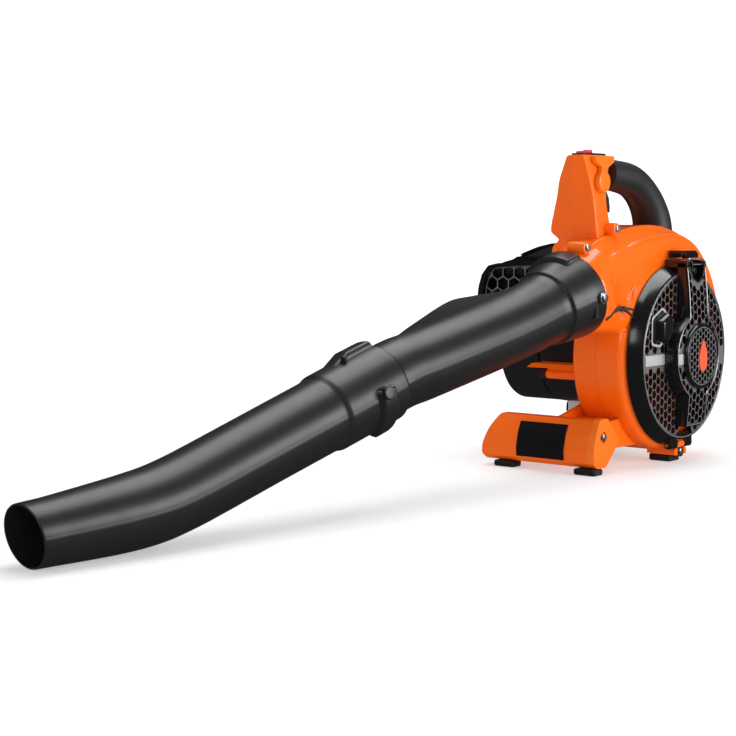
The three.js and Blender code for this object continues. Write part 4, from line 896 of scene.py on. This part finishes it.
def honeycomb(region, pitch, wall, centre=(0, CRANK_Z), keep=lambda a, b: True, smallest=9):
    """Hexagonal holes on a grid, cut to a region's outline; cells have level tops."""
    low_a, high_a = min(p[0] for p in region), max(p[0] for p in region)
    low_b, high_b = min(p[1] for p in region), max(p[1] for p in region)
    column_step = pitch * math.sqrt(3) / 2
    radius = (pitch - wall) / math.sqrt(3)
    holes = []
    columns = range(math.floor((low_a - centre[0]) / column_step), math.ceil((high_a
        - centre[0]) / column_step) + 1)
    rows = range(math.floor((low_b - centre[1]) / pitch) - 1, math.ceil((high_b - centre[1]) / pitch)
        + 1)
    for column in columns:
        for row in rows:
            a = centre[0] + column * column_step
            b = centre[1] + (row + abs(column) % 2 / 2) * pitch
            if not keep(a, b):
                continue
            cell = [(a + radius * math.cos(k * math.pi / 3), b + radius * math.sin(k * math.pi / 3))
                for k in range(6)]
            shape = clipped(region, cell)
            tidy = []
            for p in shape:
                if not tidy or math.dist(p, tidy[-1]) > 0.15:
                    tidy.append(p)
            if len(tidy) > 2 and math.dist(tidy[0], tidy[-1]) < 0.15:
                tidy.pop()
            if len(tidy) > 2 and area(tidy) > smallest:
                holes.append(tidy)
    return holes


def plate(outline, holes, front, thickness, axis="x"):
    """Plate with holes in the two other axes; front(a, b) is its face along the axis."""
    def point(a, b, depth):
        return at(depth, a, b) if axis == "x" else at(a, depth, b)
    loops = [outline] + holes
    flat = [p for loop in loops for p in loop]
    bm = bmesh.new()
    face = [bm.verts.new(point(a, b, front(a, b))) for a, b in flat]
    back = [bm.verts.new(point(a, b, front(a, b) - thickness)) for a, b in flat]
    for a, b, c in tessellate_polygon([[Vector((*p, 0)) for p in loop] for loop in loops]):
        # The face's triangles take the plate's second material; on a grille that is the grey painted
        # reflection.
        bm.faces.new((face[a], face[b], face[c])).material_index = 1
        bm.faces.new((back[c], back[b], back[a]))
    first = 0
    for loop in loops:
        for i in range(len(loop)):
            j = (i + 1) % len(loop)
            bm.faces.new((face[first + i], face[first + j], back[first + j], back[first + i]))
        first += len(loop)
    return bm


def grille(name, bm, body, stands_for=(), bevel=0.3):
    # The front faces get the grey painted reflection as their second material.
    obj = piece(name, bm, body, "black_gloss", stands_for, bevel=bevel, segments=1, angle=50)
    obj.data.materials.append(PAINTED_REFLECTION)
    return obj


def strip_outline(inset, steps=22):
    half, bulge = STRIP_HALF - inset, STRIP_BULGE_R - inset
    start = math.acos(half / bulge)
    low, high = STRIP_LOW_Z + inset, STRIP_HIGH_Z - inset
    points = [(half, mix(low, CRANK_Z - bulge * math.sin(start), k / 8)) for k in range(8)]
    points += [(bulge * math.cos(t), CRANK_Z + bulge * math.sin(t)) for t in (mix(-start, start,
        k / steps) for k in range(steps + 1))]
    points += [(half, mix(CRANK_Z + bulge * math.sin(start), high, k / 8)) for k in range(1, 9)]
    points += [(mix(half, -half, k / 6), high) for k in range(1, 6)]
    left = [(-y, z) for y, z in reversed(points[:-5])]
    return points + left + [(mix(-half, half, k / 6), low) for k in range(1, 6)]


def crown(y, z):
    """Height of the strip's face, which falls away towards its ends and sides."""
    return 52.6 - 7 * (abs(z - CRANK_Z) / 108) ** 2.2 - 1.6 * (y / STRIP_BULGE_R) ** 2


def ring_2d(radius, steps=120, centre=(0, CRANK_Z)):
    return circle(radius, steps, centre)


def make_cover_frame():
    band = lathe(eased([(17.4, 105.6), (17, 107), (17.6, 107.9), (25, 103.6), (32.6, 99.1), (33.5, 98),
        (33.3, 96.4), (32.2, 95.7), (30.7, 97), (30.7, 92.2), (29.2, 92.2), (29.2, 97.6), (17.4,
        105.6)], 0.5, 2)[:-1], 160)
    for side in (-1, 1):
        y0, y1 = sorted((side * 8.6, side * 24.5))
        ear = prism(rounded([(20.6, 17), (29.4, 17), (30.2, 22), (30.2, 31.5), (22.4, 31.5)], 3.4), y0,
            y1, "y")
        band = merged(band, ear)
    band = cut(band, hinge_rod(40, 2.3))
    cover_piece("cover_band", band, ["cover_frame"], bevel=0.35, angle=50)
    # Thin bead round the cover's rim, grey as a painted highlight on the black edge.
    rim = lathe([(33.2 + 0.7 * math.cos(t), 96.6 + 0.9 * math.sin(t)) for t in (2 * math.pi * k / 10
        for k in range(10))], 160)
    cover_piece("cover_rim", rim, material=PAINTED_REFLECTION, angle=60)


def make_cover_mesh():
    def half_moon(side, inset):
        strip = strip_outline(2.6 - inset * 2.6)
        reach = 95.2 - inset
        ring = [p for p in ring_2d(reach, 160) if p[0] * side > 0]
        inside = [p for p in strip if p[0] * side > 0.01 and math.dist(p, (0, CRANK_Z)) < reach]
        edge = (STRIP_HALF - 2.6 + inset * 2.6) * side
        height = math.sqrt(reach ** 2 - edge ** 2)
        ring = [p for p in ring if abs(p[0]) > abs(edge) + 0.3]
        ring.sort(key=lambda p: math.atan2(p[1] - CRANK_Z, p[0] * side))
        inside = [p for p in inside if abs(p[1] - CRANK_Z) < height - 1]
        inside.sort(key=lambda p: -p[1])
        shape = [(edge, CRANK_Z - height)] + ring + [(edge, CRANK_Z + height)] + inside
        return shape if area(shape) > 0 else shape[::-1]

    for side, name in ((-1, "cover_mesh_front"), (1, "cover_mesh_back")):
        holes = honeycomb(half_moon(side, 0.9), HEX_PITCH, HEX_WALL, keep=lambda y, z: math.dist((y, z),
            KNOB) > 15 and abs(z - BAND_Z) > 9, smallest=4)
        bm = plate(half_moon(side, 0), holes, lambda y, z: 33, 5)
        # Front faces of the mesh walls carry the grey painted reflection.
        grille(name, bm, "intake_cover_body", ["cover_mesh"] if side < 0 else ())


def make_cover_strip():
    levels = [(0, lambda y, z: COVER_RIM_X + 0.3), (0, lambda y, z: crown(y, z) - 1.6), (0.5, lambda y,
        z: crown(y, z) - 0.4), (1.4, crown), (2.6, lambda y, z: crown(y, z) - 0.5), (2.8, lambda y,
        z: crown(y, z) - 3), (2.8, lambda y, z: COVER_RIM_X + 0.3)]
    rings = [[(height(y, z), y, z) for y, z in strip_outline(inset)] for inset, height in levels]
    wall = skin(placed(rings), closed_path=True)
    top_box = prism(rounded([(17.2, 229.6), (46.4, 229.6), (46.4, 236.6), (44, 238.4), (17.2, 239.2)],
        1.6), -STRIP_HALF, STRIP_HALF, "y")
    top_box = cut(top_box, box((20, 50), (-12, 12), (225, 250)))
    cover_piece("cover_strip_wall", wall, ["cover_strip"], angle=50)
    cover_piece("cover_strip_end", top_box, bevel=0.8, segments=3)
    # Thin ring along the strip's rounded edge, grey as a painted highlight.
    edge = []
    for inset, drop in ((0.9, 0.1), (1.3, -0.25), (1.8, -0.25), (2.2, 0.1), (1.6, 0.7)):
        edge.append([(crown(y, z) - drop, y, z) for y, z in strip_outline(inset)])
    cover_piece("cover_strip_edge", skin(placed(edge), closed_path=True), material=PAINTED_REFLECTION, angle=60)

    notch = [(15, 240), (15, 226), (11, 216), (0, 211.5), (-11, 216), (-15, 226), (-15, 240)]
    holes = honeycomb(strip_outline(3.2), HEX_PITCH, HEX_WALL, keep=lambda y, z: math.dist((y, z), (0,
        CRANK_Z)) > 40 and not (abs(y) < 16 and z > 207) and not (y < -30 and abs(z - BAND_Z) < 9),
        smallest=4)
    outline = strip_outline(2.4)
    bm = plate(outline, holes + [ring_2d(34)[::-1]], lambda y, z: crown(y, z) - 0.7, 4)
    cutter = prism(notch, 30, 60)
    bm = cut(bm, cutter)
    # Front faces of the strip's cells carry the grey painted reflection.
    grille("cover_strip_face", bm, "intake_cover_body")
    cup = boolean(prism(rounded(notch, 4), 34, 49), prism(rounded([(13, 241), (13, 226), (9.6, 218), (0,
        213.8), (-9.6, 218), (-13, 226), (-13, 241)], 3), 36, 60))
    cup = cut(cup, box((30, 60), (-20, 20), (237.4, 250)))
    cover_piece("cover_strip_cup", cup, bevel=0.6, segments=3)
    # Lip round the notch, grey as a painted highlight.
    lip = [[(crown(y, z) + rise, y * size, 226 + (z - 226) * size) for y, z in rounded(notch, 4)]
        for size, rise in ((1.1, -0.9), (1.08, 0.3), (1.0, 0.3), (0.98, -0.9))]
    cover_piece("cover_strip_lip", skin(placed(lip), closed_path=True), material=PAINTED_REFLECTION, angle=50)
    post = rod_x(34, 45, 0, 226, 5.2, 40, 4.8, 1.4)
    cover_piece("cover_strip_stud", post, angle=40)


def make_cover_bars():
    """Plain bands across the mesh, level with the emblem, pale as a painted highlight on glossy black
    bars.
    """
    for name, y0, y1, face in (("cover_bar_low", -93.4, -46, lambda y, z: 34.4), ("cover_bar_high", -49,
            -38, lambda y, z: crown(y, z) + 0.5)):
        rings = []
        for y in spread(y0, y1, 12):
            band = [(BAND_Z + up, out) for up, out in super_ellipse(6.2, 1.6, 5, 16)]
            rings.append([(face(y, z) - 1.6 + out, y, z) for z, out in band])
        cover_piece(name, skin(placed(rings)), material=PAINTED_HIGHLIGHT, angle=40)


def make_emblem():
    bezel = lathe(eased([(51.8, 31), (51.8, 38.5), (54.6, 38.5), (56.4, 37.6), (57, 36.4), (56.4, 35.2),
        (55, 34.6), (54.5, 34.4), (54.5, 31), (51.8, 31)], 0.6, 3)[:-1], 120)
    cover_piece("emblem_ring", bezel, ["emblem_bezel"], angle=40)
    cells = honeycomb(ring_2d(33), 7.6, 1.3, keep=lambda y, z: True, smallest=5)
    mark_region = ring_2d(34.2)
    bm = plate(mark_region, cells, lambda y, z: 56.2, 3)
    # Front faces of the emblem's cells carry the grey painted reflection.
    grille("emblem_grid", bm, "intake_cover_body", ["emblem_disc"], bevel=0.2)
    leaf = []
    for i in range(24):
        t = i / 24 * 2 * math.pi
        leaf.append((8.6 * math.sin(t) * (1 - 0.35 * math.cos(t)), CRANK_Z + 15.5 * math.cos(t)
            + (2.5 * math.cos(t) ** 5)))
    mark = prism(leaf, 55.4, 57.4)
    mark = cut(mark, prism([(-0.5, 110), (0.5, 110), (0.5, 138), (-0.5, 138)], 56.8, 60))
    piece("emblem_mark", mark, "intake_cover_body", "orange_trim", material=MARK, bevel=0.4, segments=2)


def make_latch():
    arm = prism(rounded([(17.5, 246.2), (17.5, 249.4), (37, 249.4), (40.4, 246), (40.4, 240), (34.5,
        240), (33, 246.2)], 1.6), -14, 14, "y")
    hook = prism(rounded([(17.5, 241), (20, 241), (20, 247), (17.5, 247)], 0.6), -14, 14, "y")
    arm = boolean(merged(arm, hook), bar((37, -20, 242.6), (37, 20, 242.6), 1.9))
    for i in range(5):
        y = -8 + 4 * i
        arm = cut(arm, rod_x(22, 33, y, 249.6, 0.7, 12))
    piece("latch", arm, "latch_body", "black_gloss", ["cover_latch"], bevel=0.8, segments=3)


def make_knob():
    y, z = KNOB
    corners = [(-12, -15), (3, -17.5), (12.5, -9), (12.5, 15), (6, 17.5), (-12, 9)]
    levels = ((33.7, 1.0), (36, 1.02), (41.5, 0.98), (44.6, 0.86), (45.9, 0.74), (46, 0.6))
    rings = [[(x, y + a * size, z + b * size) for a, b in rounded(corners, 4, 5)] for x, size in levels]
    head = merged(skin(placed(rings)), rod_x(28, 34.4, y, z, 4))
    piece("lock_knob", head, "lock_knob_body", "black_gloss", ["cover_lock_knob"], angle=40)
    # The seat round the knob is pale as a painted highlight on glossy black.
    lip = []
    for size, x in ((1.14, 33.02), (1.16, 33.4), (1.25, 33.5), (1.3, 33.4), (1.32, 33.02)):
        lip.append([(x, y + a * size, z + b * size) for a, b in rounded(corners, 4, 5)])
    cover_piece("lock_knob_seat", skin(placed(lip), closed_path=True), material=PAINTED_HIGHLIGHT, angle=50)


# ---- fan
def make_impeller():
    hub = lathe([(-47, 6.4), (-47, 20), (-44, 96), (-41.5, 96), (-39, 32), (-14, 16), (-12, 14), (-12,
        6.4)], 96)
    blades = []
    for i in range(12):
        rows = []
        for k in range(9):
            r = mix(36, 95, k / 8)
            turn = i / 12 * 2 * math.pi + 0.5 * ((r - 36) / 59) ** 1.3
            y, z = r * math.cos(turn), CRANK_Z + r * math.sin(turn)
            across = Vector((0, -math.sin(turn), math.cos(turn))) * 1.2
            rows.append([Vector((x, y, z)) + across * s for x, s in ((-43, -1), (-3 - 8 * k / 8, -1),
                (-3 - 8 * k / 8, 1), (-43, 1))])
        blades.append(skin(placed(rows)))
    piece("fan", merged(hub, *blades), "crank_assembly", "orange_shell", ["impeller"], bevel=0.4,
        angle=50)


def make_intake_ring():
    ring = lathe(eased([(8, 57.2), (8, 60.8), (16.3, 60.8), (16.3, 70), (18, 70), (20.8, 67), (21, 63),
        (19, 59.4), (14, 57.6), (8, 57.2)], 1.2, 3)[:-1], 128)
    piece("bellmouth", ring, "root", "orange_shell", ["intake_ring"], angle=40)


# ---- screws and tie strap
SCREWS = {"stand_cap_screw": (12.3, *CAP_SCREW, 4.4), "screw_neck": (2.3, -168.5, 254.4, 4.4),
    "screw_top": (6.3, -112, 274.5, 4.4), "hinge_screw": (27.3, *HINGE_SCREW, 4.6),}


def make_screws():
    for name, (x, y, z, radius) in SCREWS.items():
        head = rod_x(x, x + 1.9, y, z, radius, 48, radius - 0.2, 1.2)
        head = joined(head, rod_x(x - 7, x + 0.4, y, z, 1.9))
        for a, b in ((2.4, 0.5), (0.5, 2.4)):
            head = cut(head, box((x + 0.7, x + 4), (y - a, y + a), (z - b, z + b)))
        piece(name + "_head", head, "root", "zinc_steel", [name], bevel=0.12, segments=1, angle=40)
    piece("hinge_washer", rod_x(27.06, 28, *HINGE_SCREW, 6.6), "root", "black_rubber", bevel=0.3)
    y, z = COLLAR_BOLT
    washer = rod_x(28.5, 29.6, y, z, 6.6, 64, 6.5, 0.4)
    hexagon = boolean(rod_x(29.6, 32.4, y, z, 5.4, 6), rod_x(26, 32.5, y, z, 6, 48, 4.9, 1.4),
        "INTERSECT")
    bolt = merged(washer, hexagon, rod_x(14, 29, y, z, 2.2))
    piece("collar_bolt_head", bolt, "root", "zinc_steel", ["collar_bolt"], bevel=0.2, segments=1)


def make_tie_strap():
    spine = through([(17.6, -155, 175), (19.6, -146, 181.6), (21, -136, 186.6), (21.4, -126, 186.2)],
        60)
    strands = []
    for phase in (0, math.pi):
        path = []
        for i, point in enumerate(spine):
            turn = phase + 9 * i / len(spine)
            path.append(point + Vector((1.5 * math.cos(turn), 0, 1.5 * math.sin(turn))))
        strands.append(sweep(path, lambda share: 1.8, 16))
    knot = [Vector((21.6 + 2 * math.cos(t), -126 + 2.6 * math.sin(t), 186.2 + 1.6 * math.sin(2 * t)))
        for t in (2 * math.pi * k / 40 for k in range(41))]
    tails = [through([(21.4, -126, 186.2), (23, -117, 186), (25, -106, 184.4)], 24), through([(21.4,
        -126, 186.2), (23.4, -117, 182.4), (25, -109, 177)], 24)]
    strands += [sweep(path, lambda share: 1.9 - 0.5 * share, 16) for path in [knot] + tails]
    piece("strap", merged(*strands), "root", "woven_cord", ["tie_strap"], angle=60)


# ---- engine side
def make_starter():
    wall = [(-60, 44.4), (-60, SHROUD_R), (-129, SHROUD_R), (-129, SHROUD_R - 2.5), (-63, SHROUD_R
        - 2.5), (-63, 44.4), (-60, 44.4)]
    shroud = boolean(lathe(eased(wall, 1.5)[:-1], 128), box((-140, -64), (-39, 39), (150, 200)))
    piece("cylinder_shroud", shroud, "root", "black_satin", ["engine_shroud"], angle=40)

    x, r = STARTER_X, STARTER_R
    bowl = lathe(eased([(-156, 0.2), (-156, 5), (x + 3, 5), (x + 3, 40.5), (x + 13.5, r - 2.5), (-131, r
        - 2.5), (-131, r), (x + 12, r), (x, 42), (x, 0.2)], 2), 128, closed=False)
    slots = []
    for i in range(18):
        turn = 2 * math.pi * i / 18
        inner, outer = [(x + 1.4, r2 * math.cos(turn), CRANK_Z + r2 * math.sin(turn)) for r2 in (16,
            36)]
        slots.append(bar(inner, outer, 1.9, 12))
    bowl = cut(bowl, merged(*slots))
    bowl = joined(bowl, bar((*ROPE, 175), (*ROPE, 184), 6, 40))
    bowl = cut(bowl, bar((*ROPE, 150), (*ROPE, 190), 3))
    piece("starter_cover", bowl, "root", "black_satin", ["starter_housing"], angle=40)


def make_tank():
    body = prism(rounded([(32, 16), (100, 16), (100, 70), (32, 70)], 12, 6), -150, -60)
    piece("tank", merged(body, rod_x(-154, -146, 70, 46, 13)), "root", "milky_tank", ["fuel_tank"],
        bevel=4, segments=5, angle=50)
    rings = []
    sides = 144
    for x, size in ((-154.3, 0.96), (-155.5, 1), (-163.6, 1), (-165.4, 0.95), (-166, 0.88)):
        ring = []
        for i in range(sides):
            t = 2 * math.pi * i / sides
            r = 17 * size - 0.5 * (1 + math.cos(24 * t))
            ring.append((x, 70 + r * math.cos(t), 46 + r * math.sin(t)))
        rings.append(ring)
    piece("tank_cap", skin(placed(rings)), "fuel_cap_body", "black_gloss", ["fuel_cap"], angle=30)


def make_filter_cover():
    def outline(inset, radius):
        return rounded([(-136 + inset, 160 + inset), (-64 - inset, 160 + inset), (-64 - inset, 228
            - inset), (-136 + inset, 228 - inset)], radius, 6)
    shell = []
    for y, inset in ((76.6, 0), (101, 0), (105, 1.2), (107.4, 4), (108, 8)):
        shell.append([(x, y, z) for x, z in outline(inset, 12)])
    cover = boolean(skin(placed(shell)), prism(outline(3, 8), 70, 104, "y"))
    cover = cut(cover, box((-142, -128), (70, 84), (168, 200)))
    for i in range(5):
        z = 176 + 9 * i
        cover = cut(cover, rod_x(-124, -76, 109, z, 2, 16))
    piece("filter_cover", cover, "filter_cover_body", "black_gloss", ["air_filter_cover"], angle=35)


def make_engine_cover():
    front, step = -86, -68
    crest = [(-206, 190), (-204, 204), (-198, 219), (-190, 229), (-178, 234.4), (-166, 237.4), (-150,
        246), (-130, 253), (-112, 257), (-92, 259), (-76, 259), (-76, 190)]
    face = [(-206, 190), (-203.6, 205), (-199, 219), (-190, 230), (-176, 233), (-122, 236.6), (-76,
        239), (-76, 190)]
    inner = [(-203, 180), (-202, 200), (-196, 216), (-188, 226), (-177, 231), (-165, 233.6), (-149,
        242), (-130, 249), (-112, 253.6), (-92, 255.8), (-79, 256), (-79, 180)]
    body = boolean(prism(rounded(crest, 8), step, 48, "y"), prism(rounded(face, 7), front, step + 1,
        "y"), "UNION")
    low_face = [(x + 3.4, z - 3.4) for x, z in face[:4]] + [(-174, 229.4), (-122, 233), (-80, 235.4),
        (-80, 180), (-202.6, 180)]
    body = cut(body, prism(inner, step + 3.5, 45, "y"), prism(low_face, front + 5, step + 5, "y"),
        box((-230, -140), (16, 80), (150, 270)), box((-230, -137), (12, 80), (150, 226)), box((-90,
        -70), (-40, 40), (180, 222)), box((-122, -86), (40, 60), (150, 208)), prism(rounded([(-163,
        241), (-150, 244), (-128, 251), (-100, 254.6), (-84, 255), (-84, 241)], 2), step - 3, step + 6,
        "y"))
    grid = [(-198, 191), (-197, 205), (-192.4, 217), (-186, 226), (-176, 228.4), (-122, 231.6), (-84,
        233.4), (-84, 191)]
    body = cut(body, prism(grid, front - 4, front + 8, "y"))
    piece("engine_hood", body, "root", "black_gloss", ["engine_cover"], bevel=1.1, segments=3, angle=40)
    turned_grid = [(208 + (z - 208) * 0.94, -140 + (x + 140) * 0.975) for x, z in grid]
    cells = honeycomb(turned_grid, 16, 1.7, centre=(208, -140), smallest=12)
    holes = [[(x, z) for z, x in reversed(cell)] for cell in cells]
    bm = plate(grid, holes, lambda x, z: front + 6, -5, axis="y")
    obj = piece("engine_hood_grid", bm, "root", "black_gloss", bevel=0.3, segments=1, angle=50)
    # The hood grid's front faces take the grey painted reflection.
    obj.data.materials.append(PAINTED_REFLECTION)


# ---- starter rope
def make_rope():
    x, y = ROPE
    rings = []
    steps, sides = 40, 20
    for i in range(steps + 1):
        z = mix(127, 188.6, i / steps)
        ring = []
        for k in range(sides):
            t = 2 * math.pi * k / sides
            r = 1.5 + 0.16 * math.sin(6 * t + 2.2 * i)
            ring.append((x + r * math.cos(t), y + r * math.sin(t), z))
        rings.append(ring)
    bm = skin(placed(rings))
    bmesh.ops.recalc_face_normals(bm, faces=bm.faces)
    rope = mesh_object("rope", bm)
    rope.data.shade_smooth()
    rope.data.materials.append(MATERIALS["woven_cord"])
    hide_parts("starter_rope")
    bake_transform(rope)


# ---- CAD nodes that stay
def finish_cad_nodes():
    slots = {row["node"]: row["material_slot"] for row in frame["record"]["subparts"]}
    for name, slot in slots.items():
        obj = bpy.data.objects.get(name)
        if obj is None or obj.type != "MESH":
            continue
        obj.data.materials.clear()
        obj.data.materials.append(MATERIALS[slot])
        if name in KEPT_BEVELS:
            weld = obj.modifiers.new("weld", "WELD")
            weld.merge_threshold = 0.01 * MM
            add_bevel(obj, KEPT_BEVELS[name], 2, 40)


KEPT_BEVELS = {"starter_handle": 0.8, "air_filter_base": 0.6, "crankcase": 0.8, "cylinder": 0.4,
    "muffler": 0.8, "carburettor": 0.6, "choke_lever": 0.6, "engine_mount_arm": 0.6,
    "engine_mount_bush": 1.0, "spark_plug_boot": 1.0, "foot_front_right": 1.0, "foot_front_left": 1.0,
    "foot_rear_right": 1.0, "foot_rear_left": 1.0, "rating_plate": 0.2,}


make_camera()
make_studio()
make_housing()
make_stand()
make_post()
make_grip()
make_controls()
make_upper_tube()
make_lower_tube()
make_cover_frame()
make_cover_mesh()
make_cover_strip()
make_cover_bars()
make_emblem()
make_latch()
make_knob()
make_impeller()
make_intake_ring()
make_screws()
make_tie_strap()
make_starter()
make_tank()
make_filter_cover()
make_engine_cover()
make_rope()
finish_cad_nodes()
